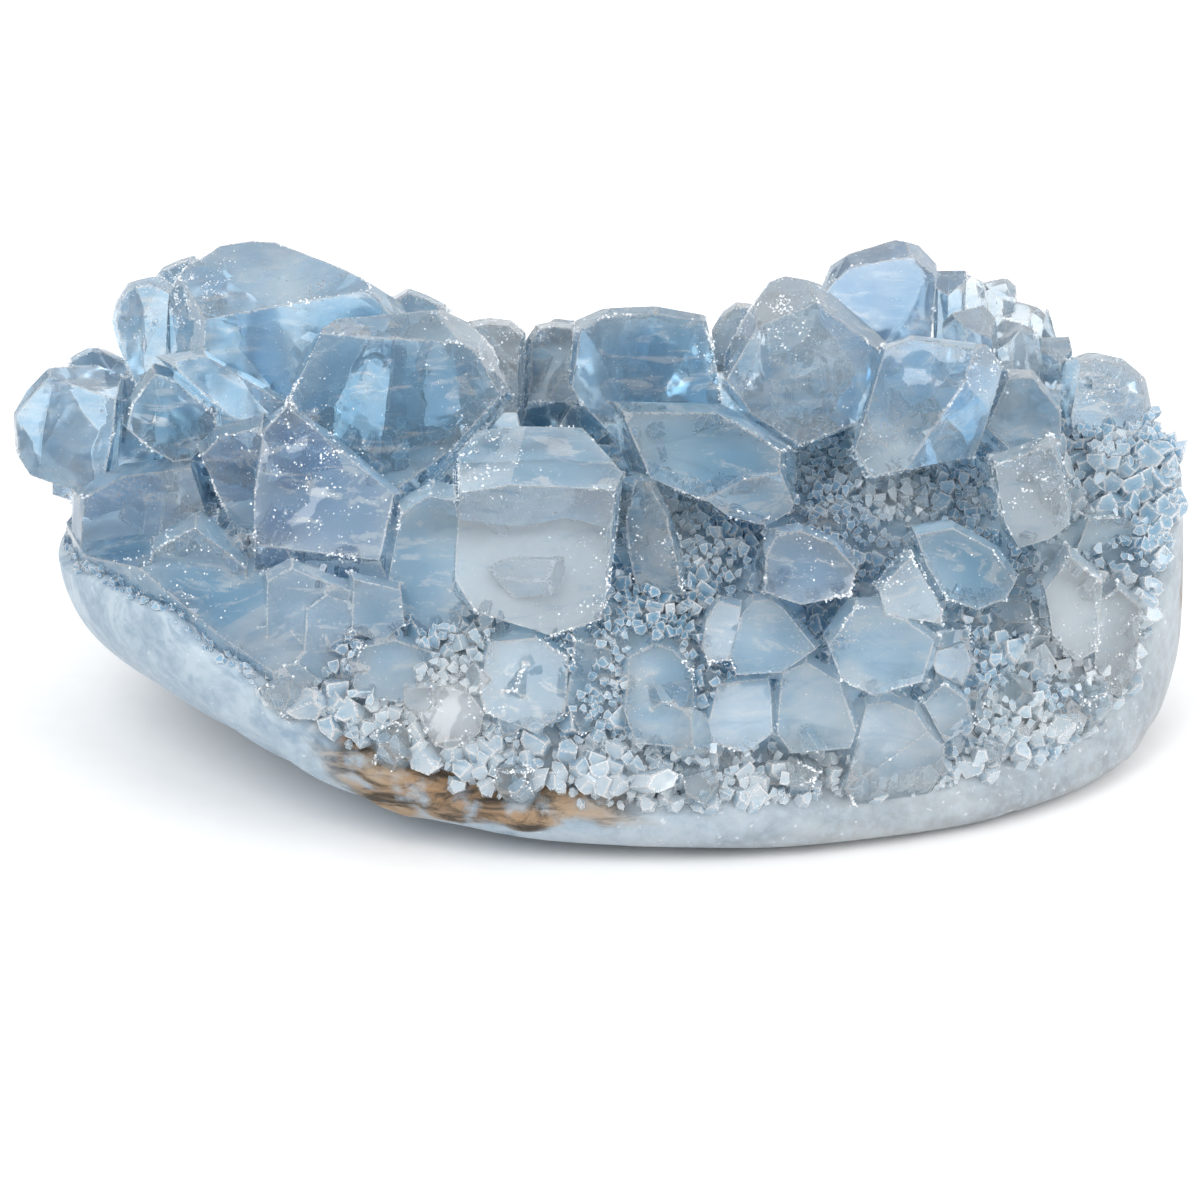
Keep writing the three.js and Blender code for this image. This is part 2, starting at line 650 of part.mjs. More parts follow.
    ridge: [
      [16.8, -1, 0], [19, -4, 0], [25, -3.5, 0], [26, -0.5, 15], [24.7, 3.6, 25],
      [20.5, 6.2, 30], [17.3, 4.8, 10],
    ],
  },
  {
    depth: 32.5, face: [110, 74],
    ridge: [
      [24.4, -4, 15], [23.6, -6.9, 0], [26, -9.4, 0], [32.5, -9.4, 0], [34.6, -5.7, 0],
      [34.6, -3, 20], [32.2, 1, 30], [29, 2.3, 35], [26, 1.9, 20],
    ],
  },
  {
    depth: 29.5, face: [60, 66],
    ridge: [[32, 1.5, 0], [34.3, -3, 0], [37.6, -1, 10], [37.3, 1.5, 20], [34.3, 3.6, 25]],
  },
  // the white columns at the right
  {
    depth: 23, face: [205, 72],
    ridge: [
      [44.3, 13.3, 0], [45.3, 7.8, 0], [47.7, 5, 0], [49.7, 6.3, 0], [50.2, 14, 25],
      [46.8, 17, 20],
    ],
  },
  {
    depth: 19, face: [335, 70],
    ridge: [
      [49.2, 12, 0], [49.5, 3, 0], [52, 1.5, 0], [54.3, 5, 10], [54.5, 11.3, 25],
      [51.5, 13.7, 20],
    ],
  },
  // the blue crystals under the front block and the pale post
  {
    depth: 33, face: [100, 72],
    ridge: [
      [-12.8, 4, 0], [-11.5, 0, 0], [-6.5, -2, 0], [-3.5, 0, 0], [-3, 6.5, 20], [-6, 8.6, 25],
      [-12, 8, 20],
    ],
  },
  {
    depth: 32.5, face: [60, 72],
    ridge: [[-4, 2, 0], [-2, -2, 0], [1.4, -1.5, 0], [2.2, 3, 15], [1.3, 7.5, 20], [-3, 8.4, 20]],
  },
  {
    depth: 33, face: [85, 70],
    ridge: [
      [1.7, 2, 0], [3.5, -3, 0], [8, -3.4, 0], [10.3, -1, 10], [10, 4.6, 20], [7.4, 7.4, 30],
      [5, 8, 30], [2, 6.4, 20],
    ],
  },
];

// The clear layer over the mass, from which the crystals rise, with an uneven upper surface.
function sharedLayer() {
  const roll = dice(3);
  const { thick, reach, round, steps } = LAYER;
  const onTop = (step) => (bearing) => {
    const out = reach * (1 - (step + 0.4 * roll() * Math.min(step, 1)) / (steps + 1));
    const point = moundPoint(bearing + 0.08 * roll(), out);
    point.z += thick * (0.7 + 0.7 * roll());
    return point;
  };
  const rings = [];
  for (let step = 0; step <= steps; step++) rings.push(ringOf(onTop(step), round));
  const below = rings[0].map((point) => point.clone().setZ(point.z - 2 * thick));
  const middle = new THREE.Vector3(RIM.x, RIM.y, CREST_HEIGHT + thick);
  return ringSolid([below, ...rings], middle.clone().setZ(0), middle);
}

// Crystals where the large ones leave the layer open: rows round it, out from its crest. They are
// small and low in front, where they only show in the gaps, and large over the back.
const ROWS = [
  { out: 0.1, count: 3, size: 4.2 },
  { out: 0.36, count: 8, size: 4.6 },
  { out: 0.6, count: 12, size: 4.9 },
  { out: 0.8, count: 17, size: 4.4 },
  { out: 0.95, count: 22, size: 3.3 },
];

function rowCrystals() {
  const roll = dice(8);
  const solids = [];
  ROWS.forEach(({ out, count, size }, row) => {
    for (let i = 0; i < count; i++) {
      const bearing = (2 * Math.PI * (i + 0.5 * (row % 2) + 0.3 * roll())) / count;
      const foot = moundPoint(bearing, out + 0.04 * (roll() - 0.5));
      const outward = new THREE.Vector3(Math.cos(bearing), Math.sin(bearing), 0);
      const along = new THREE.Vector3(roll() - 0.5, roll() - 0.5, 1.5);
      along.addScaledVector(outward, out * 0.55);
      const atBack = THREE.MathUtils.smoothstep(Math.sin(bearing) * out, -0.15, 0.25);
      const grown = size * (0.75 + 0.5 * roll()) * THREE.MathUtils.lerp(0.62, 1, atBack);
      foot.addScaledVector(along.clone().normalize(), 1.5 * roll() * atBack);
      foot.z -= Math.max(0, foot.dot(UP_PLANE) + 1.15 * grown - SADDLE);
      if (atBack < 0.3 || out * Math.cos(bearing) > 0.84) continue;
      solids.push(
        grownCrystal({
          at: foot,
          along,
          turn: 2 * Math.PI * roll(),
          wide: grown,
          thick: grown * (0.42 + 0.36 * roll()),
          long: grown * (1.15 + 0.5 * roll()),
          root: grown * 1.4 + 1.5,
          seed: 40 + solids.length,
          large: atBack > 0.5 && out < 0.9,
        }),
      );
    }
  });
  return solids;
}

// The pale crystals that stand along the rim at the back right: x, v, depth and half width.
const RIGHT_CREST = [
  [34.8, 42, -4, 2.4],
  [37, 42.2, -8, 1.9],
  [39.6, 41, -9, 2.6],
  [42, 38.6, -8, 2.6],
  [45.4, 39.2, -10, 2.2],
  [45.2, 35.2, -4, 2.6],
  [41.5, 36, -2, 3.2],
  [37, 37.5, 0, 3.2],
];

function rightCrestCrystals() {
  return RIGHT_CREST.map(([x, v, depth, size], i) =>
    grownCrystal({
      at: seenAt(x, v, depth),
      along: new THREE.Vector3(0.15 * Math.sin(5 * i), 0.2, 1),
      turn: 1.9 * i,
      wide: size,
      thick: size * 0.7,
      long: size,
      root: size + 8,
      seed: 200 + i,
    }),
  );
}

// Small pale crystals along the low front of the layer: rows from the large ones to its edge.
const PALE = { from: -2.2, to: -0.4, size: 2, rows: [0.81, 0.89, 0.97], perRow: 9 };

function paleCrystals() {
  const roll = dice(11);
  const solids = [];
  for (const row of PALE.rows)
    for (let i = 0; i < PALE.perRow; i++) {
      const bearing = THREE.MathUtils.lerp(PALE.from, PALE.to, (i + roll()) / PALE.perRow);
      const along = new THREE.Vector3(0.5 * Math.cos(bearing), 0.7 * Math.sin(bearing), 1);
      along.x += 0.9 * (roll() - 0.5);
      const size = PALE.size * (0.65 + 0.7 * roll());
      solids.push(
        grownCrystal({
          at: moundPoint(bearing, row + 0.04 * (roll() - 0.5)).add(new THREE.Vector3(0, 0, 1.5)),
          along,
          turn: 2 * Math.PI * roll(),
          wide: size,
          thick: size * 0.75,
          long: size * 1.2,
          root: size,
          seed: 300 + solids.length,
        }),
      );
    }
  return solids;
}

function largestOf(solid) {
  const pieces = solid.decompose();
  return pieces.reduce((most, piece) => (piece.volume() > most.volume() ? piece : most));
}

function toMesh(name, solid, color, roughness) {
  const { vertProperties, triVerts } = solid.getMesh();
  const geometry = new THREE.BufferGeometry();
  geometry.setAttribute("position", new THREE.BufferAttribute(vertProperties, 3));
  geometry.setIndex(new THREE.BufferAttribute(triVerts, 1));
  const material = new THREE.MeshStandardMaterial({ color, roughness, flatShading: true });
  const mesh = new THREE.Mesh(geometry, material);
  mesh.name = name;
  return mesh;
}

const union = (solids) => wasm.Manifold.union(solids);
const rind = rindBody();
const grown = union([
  sharedLayer(),
  ...DRAWN.map(drawnCrystal),
  ...rowCrystals(),
  ...rightCrestCrystals(),
  ...paleCrystals(),
]);
const crystals = largestOf(grown.intersect(crystalRoom()).subtract(rindBody(GAP)));

const cluster = new THREE.Group();
cluster.name = "celestite_crystal_cluster";
cluster.add(toMesh("rind", rind, 0xc3c9cd, 0.75));
cluster.add(toMesh("crystals", crystals, 0x8fb3cf, 0.2));

// The origin is on the ground under the middle of the whole.
const middle = new THREE.Box3().setFromObject(cluster).getCenter(new THREE.Vector3());
cluster.position.set(-middle.x, -middle.y, 0);

export default cluster;
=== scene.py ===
# A celestite crystal cluster: a piece of geode wall, ground smooth below and at its sides, with
# blue crystals grown together on its hollow side. Meshes are in metres, sizes in millimetres.
import math

import bmesh
import bpy
import numpy as np
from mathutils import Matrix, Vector
from mathutils.bvhtree import BVHTree


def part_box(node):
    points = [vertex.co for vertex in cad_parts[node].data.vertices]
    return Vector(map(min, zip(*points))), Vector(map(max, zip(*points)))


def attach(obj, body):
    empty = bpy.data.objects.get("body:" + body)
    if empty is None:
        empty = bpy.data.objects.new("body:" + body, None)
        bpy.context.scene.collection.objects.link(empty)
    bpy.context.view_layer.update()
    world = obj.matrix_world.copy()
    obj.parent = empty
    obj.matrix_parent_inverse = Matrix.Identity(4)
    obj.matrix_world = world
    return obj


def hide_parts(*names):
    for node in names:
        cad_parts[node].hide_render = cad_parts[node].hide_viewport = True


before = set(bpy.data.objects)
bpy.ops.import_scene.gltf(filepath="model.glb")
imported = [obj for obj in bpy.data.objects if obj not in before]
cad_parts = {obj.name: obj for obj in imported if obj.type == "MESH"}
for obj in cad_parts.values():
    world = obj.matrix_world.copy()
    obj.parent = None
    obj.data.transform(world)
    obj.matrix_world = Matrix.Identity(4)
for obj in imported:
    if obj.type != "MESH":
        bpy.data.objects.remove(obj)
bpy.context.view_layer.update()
MM = 0.001


# Rind

# The rind is the outer wall of the geode: massive pale celestite, ground to a smooth oval bowl
# with a flat foot, and polished dull. A rough patch of brown host rock is left low at its front.

FOOT = {"x": 18.0, "y": -1.0, "across": 33.5, "deep": 25.6}
RIM = {"x": 1.8, "y": 2.0, "across": 55.8, "deep": 36.0}
WALL_BULGE = (2.15, 2.9)  # at the left and right end: 1 is a straight slope
WALL_BELLY = 1.1
CREST_HEIGHT = 25.6
RIM_BEARINGS = np.array([
    0, 25, 55, 85, 120, 150, 180, 192, 205, 217, 227, 236, 246, 260, 280, 300, 320, 334, 343,
    351, 360,
])
RIM_HEIGHTS = np.array([
    26, 25.5, 21, 19, 18, 17.5, 17.5, 18.5, 20.5, 20.5, 17, 12.5, 9, 6.5, 5.5, 5, 5, 8, 15,
    22, 26,
])
AROUND, FOOT_RINGS, WALL_RINGS, MOUND_RINGS = 420, 8, 84, 44
HOST_BEARINGS = (235, 244, 266, 277)  # the host rock fades in and out between these
HOST_THICK, HOST_ROUGH = 0.20, 0.16
PIT_DEPTH = 0.35
STAIN_BEARING, STAIN_UP = 353, 0.75  # the middle of the brown stain at the right end


def waves(points, length, seed, count=24):
    """Smooth noise of about -1 to 1: the mean of cosines of the distance along count random
    directions, each with a wavelength near length and a random start."""
    rng = np.random.default_rng(seed)
    directions = rng.normal(size=(3, count))
    directions *= rng.uniform(0.7, 1.5, count) / np.linalg.norm(directions, axis=0)
    phase = points @ directions * (2 * np.pi / length) + rng.uniform(0, 2 * np.pi, count)
    return np.cos(phase).mean(axis=-1) * math.sqrt(count / 2) * 0.8


def smoothstep(low, high, values):
    """0 below low, 1 above high, and the cubic 3t^2 - 2t^3 between them."""
    t = np.clip((values - low) / (high - low), 0, 1)
    return t * t * (3 - 2 * t)


def rim_height(bearing):
    """The rim's height at each bearing: the listed heights with a smoothstep between them."""
    degrees = np.degrees(bearing) % 360
    after = np.clip(np.searchsorted(RIM_BEARINGS, degrees, side="right"), 1, len(RIM_HEIGHTS) - 1)
    share = (degrees - RIM_BEARINGS[after - 1]) / (RIM_BEARINGS[after] - RIM_BEARINGS[after - 1])
    rise = RIM_HEIGHTS[after] - RIM_HEIGHTS[after - 1]
    return RIM_HEIGHTS[after - 1] + rise * smoothstep(0, 1, share)


def mound_points(bearing, out):
    """The hidden top of the rind: an oval, out times the rim, whose height falls from the crest
    to the rim with out to the power 2.5, with lumps of two sines between them."""
    lumps = np.sin(7 * bearing + 9 * out) + np.sin(11 * bearing - 13 * out)
    height = CREST_HEIGHT + (rim_height(bearing) - CREST_HEIGHT) * out**2.5
    return np.stack([
        RIM["x"] + RIM["across"] * out * np.cos(bearing),
        RIM["y"] + RIM["deep"] * out * np.sin(bearing),
        height + 1.4 * lumps * out * (1 - out),
    ], axis=-1)


def wall_points(bearing, up):
    """The ground wall: each point goes from the foot's oval to the rim's by 1 - (1 - up)^bulge,
    swells by a sine at the right end, and rises with a power of up."""
    to_right = (1 + np.cos(bearing)) / 2
    power = WALL_BULGE[0] + (WALL_BULGE[1] - WALL_BULGE[0]) * to_right
    bulge = 1 - (1 - up)**power
    belly = WALL_BELLY * np.sin(np.pi * up) * to_right**3
    rim = mound_points(bearing, np.ones_like(bearing))
    foot_x = FOOT["x"] + FOOT["across"] * np.cos(bearing)
    foot_y = FOOT["y"] + FOOT["deep"] * np.sin(bearing)
    return np.stack([
        foot_x + (rim[..., 0] - foot_x) * bulge + belly * np.cos(bearing),
        foot_y + (rim[..., 1] - foot_y) * bulge + belly * np.sin(bearing),
        rim[..., 2] * up**(1 + 0.35 * (power - 1)),
    ], axis=-1)


def ring_faces(rings, around):
    """Quads between rings of a grid that closes on itself, and a fan to a pole at each end."""
    i, j = np.meshgrid(np.arange(rings - 1), np.arange(around), indexing="ij")
    k = (j + 1) % around
    here, above = i * around, (i + 1) * around
    quads = np.stack([here + j, here + k, above + k, above + j], -1)
    j = np.arange(around)
    k = (j + 1) % around
    low = np.stack([np.full(around, rings * around), k, j], -1)
    last = (rings - 1) * around
    high = np.stack([last + j, last + k, np.full(around, rings * around + 1)], -1)
    return quads.reshape(-1, 4).tolist() + low.tolist() + high.tolist()


def new_piece(name, points, faces, smooth=True):
    """A mesh object from points in millimetres and lists of corners."""
    mesh = bpy.data.meshes.new(name)
    mesh.from_pydata((points * MM).tolist(), [], faces)
    mesh.polygons.foreach_set("use_smooth", [smooth] * len(mesh.polygons))
    piece = bpy.data.objects.new(name, mesh)
    bpy.context.scene.collection.objects.link(piece)
    return piece


def put_values(piece, name, values):
    """One number per vertex, which a material reads by its name."""
    attribute = piece.data.attributes.new(name, "FLOAT", "POINT")
    attribute.data.foreach_set("value", np.asarray(values, np.float32))


def rind_grid():
    """Rings of points from the foot over the wall and the rim to the crest, with the bearing
    and the share of the way up the wall (over 1 on the mound, under 0 on the foot)."""
    bearing = np.linspace(0, 2 * np.pi, AROUND, endpoint=False)
    rings, ups = [], []
    for share in np.linspace(0.12, 1, FOOT_RINGS, endpoint=False):
        edge = wall_points(bearing, np.zeros(AROUND))
        middle = np.array([FOOT["x"], FOOT["y"], 0])
        rings.append(middle + (edge - middle) * share)
        ups.append(share - 1)
    for up in np.linspace(0, 1, WALL_RINGS):
        rings.append(wall_points(bearing, np.full(AROUND, up)))
        ups.append(up)
    for out in np.linspace(1, 0.02, MOUND_RINGS)[1:]:
        rings.append(mound_points(bearing, np.full(AROUND, out)))
        ups.append(2 - out)
    ups = np.repeat(np.array(ups)[:, None], AROUND, axis=1)
    return np.array(rings), np.broadcast_to(bearing, ups.shape), ups


def grid_normals(grid):
    """Outward unit normals of a grid of rings: the cross product of the way along each ring
    and the way from ring to ring."""
    along = np.roll(grid, -1, axis=1) - np.roll(grid, 1, axis=1)
    across = np.gradient(grid, axis=0)
    normal = np.cross(along, across)
    return normal / np.maximum(np.linalg.norm(normal, axis=-1, keepdims=True), 1e-9)


drawn, bearings, ups = rind_grid()
low, high = (np.array(corner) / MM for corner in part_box("rind"))
middle = (low + high - drawn.min(axis=(0, 1)) - drawn.max(axis=(0, 1))) / 2
TO_FRAME = np.array([middle[0], middle[1], 0])  # from the drawing's origin to the frame's

degrees = np.degrees(bearings) % 360
on_wall = smoothstep(0.0, 0.12, ups) * (1 - smoothstep(0.96, 1.0, ups))
# the host rock: a band that narrows to the right and thins out in grains
patch = smoothstep(*HOST_BEARINGS[:2], degrees) * (1 - smoothstep(*HOST_BEARINGS[2:], degrees))
band_low = 0.42 + 0.012 * np.clip(degrees - 240, 0, 30)
patch *= smoothstep(band_low, band_low + 0.15, ups + 0.10 * waves(drawn, 5.0, 1))
patch *= 1 - smoothstep(1.05, 1.11, ups)
ragged = waves(drawn, 3.2, 2) + 0.7 * waves(drawn, 1.6, 3)
host = patch * smoothstep(-0.9, 0.2, ragged + 1.2 * patch - 0.6)
relief = 0.10 * waves(drawn, 15, 4) * on_wall
relief += host * (HOST_THICK + HOST_ROUGH * ragged) * (ups < 1.0)
relief -= PIT_DEPTH * smoothstep(0.75, 1.25, waves(drawn, 4.2, 5)) * on_wall
shaped = drawn + grid_normals(drawn) * relief[..., None] + TO_FRAME
shaped[..., 2] = np.where(ups < 0.02, 0, np.maximum(shaped[..., 2], 0))
poles = np.array([[FOOT["x"], FOOT["y"], 0], [RIM["x"], RIM["y"], CREST_HEIGHT]]) + TO_FRAME
rind_points = np.concatenate([shaped.reshape(-1, 3), poles])
rind = new_piece("rind_ground", rind_points, ring_faces(len(drawn), AROUND))
# a brown stain runs down the right end
stain = np.exp(-((degrees - STAIN_BEARING) / 2.0)**2 - ((ups - STAIN_UP) / 0.12)**2)
stained = np.maximum(host, stain * smoothstep(-0.8, 0.6, ragged))
put_values(rind, "host", np.append(stained.ravel(), [0, 0]))
to_right = smoothstep(-20, 30, rind_points[:, 0])
put_values(rind, "grey", to_right)
upper = smoothstep(0.45, 0.95, np.append(ups.ravel(), [0, 1]) + 0.08 * waves(rind_points, 9, 6))
put_values(rind, "upper", upper * (1 - 0.75 * to_right))
put_values(rind, "inner", np.append(smoothstep(1.03, 1.15, ups).ravel(), [0, 1]))


class Nodes:
    """A short way to add and link the nodes of one material or node group."""

    def __init__(self, tree):
        self.tree = tree

    def add(self, kind, inputs=None, **settings):
        node = self.tree.nodes.new(kind)
        for key, value in settings.items():
            setattr(node, key, value)
        for key, value in (inputs or {}).items():
            self.set(node.inputs[key], value)
        return node

    def set(self, socket, value):
        if isinstance(value, bpy.types.NodeSocket):
            self.tree.links.new(value, socket)
        else:
            socket.default_value = value

    def math(self, operation, a, b=0.0, c=0.0):
        node = self.add("ShaderNodeMath", operation=operation)
        for socket, value in zip(node.inputs, (a, b, c)):
            self.set(socket, value)
        return node.outputs[0]

    def mix(self, share, a, b):
        node = self.add("ShaderNodeMix", data_type="RGBA")
        for socket, value in zip((node.inputs[0], node.inputs[6], node.inputs[7]), (share, a, b)):
            self.set(socket, value)
        return node.outputs[2]

    def noise(self, vector, scale, detail=3.0, roughness=0.5, distortion=0.0):
        inputs = {"Vector": vector, "Scale": scale, "Detail": detail, "Roughness": roughness}
        inputs["Distortion"] = distortion
        return self.add("ShaderNodeTexNoise", inputs).outputs["Fac"]

    def ramp(self, value, low, high):
        inputs = {"Value": value, "From Min": low, "From Max": high}
        node = self.add("ShaderNodeMapRange", inputs, interpolation_type="SMOOTHSTEP")
        return node.outputs["Result"]

    def bump(self, height, strength, distance):
        inputs = {"Height": height, "Strength": strength, "Distance": distance * MM}
        return self.add("ShaderNodeBump", inputs).outputs["Normal"]

    def place(self):
        return self.add("ShaderNodeTexCoord").outputs["Object"]

    def value_of(self, name):
        return self.add("ShaderNodeAttribute", attribute_name=name).outputs["Fac"]


def new_material(name):
    """An empty material with its Principled shader, and the Nodes that fill it."""
    material = bpy.data.materials.new(name)
    material.use_nodes = True
    return material, Nodes(material.node_tree), material.node_tree.nodes["Principled BSDF"]


STONE = {
    # the two ends of each mixture, from dark to pale
    "blue": ((0.28, 0.37, 0.46, 1), (0.43, 0.50, 0.56, 1)),
    "grey": ((0.24, 0.26, 0.28, 1), (0.38, 0.40, 0.41, 1)),
    "feathers": ((0.24, 0.34, 0.44, 1), (0.45, 0.54, 0.61, 1)),
    "tan": ((0.30, 0.18, 0.09, 1), (0.38, 0.30, 0.22, 1)),
    "dark brown": (0.05, 0.04, 0.03, 1),
    "grains": (0.47, 0.56, 0.63, 1),
    "specks": (0.88, 0.90, 0.92, 1),
    "under the crystals": (0.86, 0.89, 0.91, 1),
}


def rind_material():
    """Pale stone in soft clouds, blue at the left and grey at the right, feathered below the
    rim, brown in layers where the host rock is, and dull from grinding."""
    material, n, shader = new_material("ground_pale_celestite")
    place = n.place()
    clouds = n.ramp(n.noise(place, 90, 4, 0.55, 0.4), 0.35, 0.65)
    grains = n.ramp(n.noise(place, 900, 3, 0.6), 0.35, 0.7)
    specks = n.ramp(n.noise(place, 1500, 2, 0.5), 0.66, 0.74)
    blue = n.mix(clouds, *STONE["blue"])
    grey = n.mix(clouds, *STONE["grey"])
    stone = n.mix(n.value_of("grey"), blue, grey)
    feathers = n.ramp(n.noise(place, 240, 4, 0.65, 1.0), 0.35, 0.65)
    stone = n.mix(n.value_of("upper"), stone, n.mix(feathers, *STONE["feathers"]))
    stone = n.mix(n.math("MULTIPLY", grains, 0.35), stone, STONE["grains"])
    stone = n.mix(n.math("MULTIPLY", specks, 0.35), stone, STONE["specks"])
    layers = n.add("ShaderNodeVectorMath", {0: place, 1: (1, 1, 3.5)}, operation="MULTIPLY")
    streaks = n.ramp(n.noise(layers.outputs[0], 170, 5, 0.7, 1.0), 0.38, 0.60)
    brown = n.mix(streaks, STONE["dark brown"], n.mix(clouds, *STONE["tan"]))
    host = n.math("MULTIPLY", n.value_of("host"), n.ramp(n.noise(place, 260, 4, 0.6), 0.25, 0.5))
    stone = n.mix(n.value_of("inner"), stone, STONE["under the crystals"])
    n.set(shader.inputs["Base Color"], n.mix(host, stone, brown))
    rough = n.math("ADD", n.math("MULTIPLY", clouds, 0.12), 0.38)
    n.set(shader.inputs["Roughness"], n.math("ADD", rough, n.math("MULTIPLY", host, 0.4)))
    height = n.math("ADD", n.math("MULTIPLY", grains, 0.4), n.math("MULTIPLY", streaks, host))
    n.set(shader.inputs["Normal"], n.bump(height, 0.5, 0.12))
    shader.inputs["Subsurface Weight"].default_value = 0.35
    shader.inputs["Subsurface Radius"].default_value = (0.8, 1.0, 1.2)
    shader.inputs["Subsurface Scale"].default_value = 2 * MM
    return material


rind.data.materials.append(rind_material())
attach(rind, "root")
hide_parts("rind")


# Crystals

# The crystals are clear to milky blue celestite, all grown into each other. Their flat faces are
# sharp-edged, chipped along the ridges and frosted in places by later growth.

FACING = math.radians(25)  # the cluster is looked at from the front, this far above the horizon
# height and distance of the eye, and how near the plane is that the outlines were drawn in
EYE = {"up": 11.3, "depth": 505, "plane": 5.3}
FACET_STEP = 1.0  # longest side of the small triangles that a facet is divided into
NEAR_RIND = 0.45  # corners nearer to the rind than this are roots
ROOT_DEPTH = 0.8  # how far the crystals' roots reach into the rind
CHIP_LEAST, CHIP_MORE, CHIP_NOTCH = 0.06, 0.45, 0.3  # shares of the way to the neighbours' mean
HILL_HEIGHTS = (0.08, 0.04)
PAINTED_GLOW_STEPS = 4  # how many edges the milk and the painted glow beside a ridge reach


def merged_copy(node):
    """The CAD node's triangles joined at their corners, with flat facets made whole."""
    bm = bmesh.new()
    bm.from_mesh(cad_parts[node].data)
    bmesh.ops.remove_doubles(bm, verts=bm.verts, dist=0.01 * MM)
    flat = math.radians(0.5)
    bmesh.ops.dissolve_limit(bm, angle_limit=flat, verts=bm.verts, edges=bm.edges)
    return bm


def sink_roots(bm):
    """Moves the corners that lie on the rind a little into it, and marks the facets that only
    have such corners with -1 in the layer facet, the others with their own number."""
    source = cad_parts["rind"].data
    tree = BVHTree.FromPolygons([v.co for v in source.vertices],
                                [list(p.vertices) for p in source.polygons])
    for vertex in bm.verts:
        _, normal, _, gap = tree.find_nearest(vertex.co)
        vertex.tag = gap < NEAR_RIND * MM
        if vertex.tag:
            vertex.co -= normal * ROOT_DEPTH * MM
    facet = bm.faces.layers.int.new("facet")
    for number, face in enumerate(bm.faces):
        face[facet] = -1 if all(v.tag for v in face.verts) else number
    return facet


def divide_facets(bm, facet):
    """Halves the long edges of the facets that show, again and again, and turns the edges
    inside each facet so that its triangles are even."""
    bmesh.ops.triangulate(bm, faces=bm.faces, quad_method="BEAUTY", ngon_method="BEAUTY")
    for step in (8, 4, 2, FACET_STEP):
        for _ in range(4):
            longest = step * 1.5 * MM
            shown = [e for e in bm.edges if any(f[facet] >= 0 for f in e.link_faces)]
            long_edges = [e for e in shown if e.calc_length() > longest]
            if not long_edges:
                break
            bmesh.ops.subdivide_edges(bm, edges=long_edges, cuts=1)
            bmesh.ops.triangulate(bm, faces=[f for f in bm.faces if len(f.verts) > 3])
            faces = [f for f in bm.faces if f[facet] >= 0]
            inner = [e for e in bm.edges if e.is_manifold
                     and e.link_faces[0][facet] == e.link_faces[1][facet] >= 0]
            bmesh.ops.beautify_fill(bm, faces=faces, edges=inner, method="ANGLE")


bm = merged_copy("crystals")
facet_layer = sink_roots(bm)
divide_facets(bm, facet_layer)
mesh = bpy.data.meshes.new("crystals_blue")
bm.to_mesh(mesh)
bm.free()
crystals = bpy.data.objects.new("crystals_blue", mesh)
bpy.context.scene.collection.objects.link(crystals)


def mesh_arrays(mesh):
    """A triangle mesh's points in millimetres, its corners and the number of each facet."""
    points = np.empty(len(mesh.vertices) * 3, np.float32)
    mesh.vertices.foreach_get("co", points)
    corners = np.empty(len(mesh.polygons) * 3, np.int32)
    mesh.polygons.foreach_get("vertices", corners)
    facets = np.empty(len(mesh.polygons), np.int32)
    mesh.attributes["facet"].data.foreach_get("value", facets)
    return points.reshape(-1, 3).astype(float) / MM, corners.reshape(-1, 3), facets


def facet_edges(points, corners):
    """Every edge's two end points, how far its two faces turn (0 flat, 1 a square edge), which
    is below 0 on a hollow edge, and the face normals."""
    a, b, c = (points[corners[:, k]] for k in range(3))
    normals = np.cross(b - a, c - a)
    normals /= np.maximum(np.linalg.norm(normals, axis=1, keepdims=True), 1e-12)
    middles = (a + b + c) / 3
    sides = np.sort(np.concatenate([corners[:, [0, 1]], corners[:, [1, 2]], corners[:, [2, 0]]]))
    owner = np.tile(np.arange(len(corners)), 3)
    order = np.lexsort((sides[:, 1], sides[:, 0]))
    sides, owner = sides[order], owner[order]
    pair = np.flatnonzero((sides[1:] == sides[:-1]).all(axis=1))
    one, two = owner[pair], owner[pair + 1]
    turn = 1 - (normals[one] * normals[two]).sum(axis=1)
    hollow = ((middles[two] - middles[one]) * normals[one]).sum(axis=1) > 0
    return sides[pair], np.where(hollow, -turn, turn), normals


def mean_of_neighbours(values, ends):
    """The mean of the values at the other end of each vertex's edges."""
    total = np.zeros_like(values)
    for here, there in ((0, 1), (1, 0)):
        np.add.at(total, ends[:, here], values[ends[:, there]])
    count = np.bincount(ends.ravel(), minlength=len(values))
    return (total.T / np.maximum(count, 1)).T


points, corners, facets = mesh_arrays(mesh)
ends, turns, normals = facet_edges(points, corners)
ridge = np.zeros(len(points))
for side in (0, 1):
    np.maximum.at(ridge, ends[:, side], turns)
ridge = smoothstep(0.03, 0.25, ridge)
# chips: a ridge's corners go towards the mean of those around them, most where the noise is high
chips = smoothstep(0.1, 1.2, waves(points, 5.0, 31)) * CHIP_MORE + CHIP_LEAST
chips += CHIP_NOTCH * smoothstep(0.9, 1.3, waves(points, 1.7, 32))
around = mean_of_neighbours(points, ends)
shown_vertex = np.zeros(len(points), bool)
shown_vertex[corners[facets >= 0].ravel()] = True
points += (ridge * chips * shown_vertex)[:, None] * (around - points)
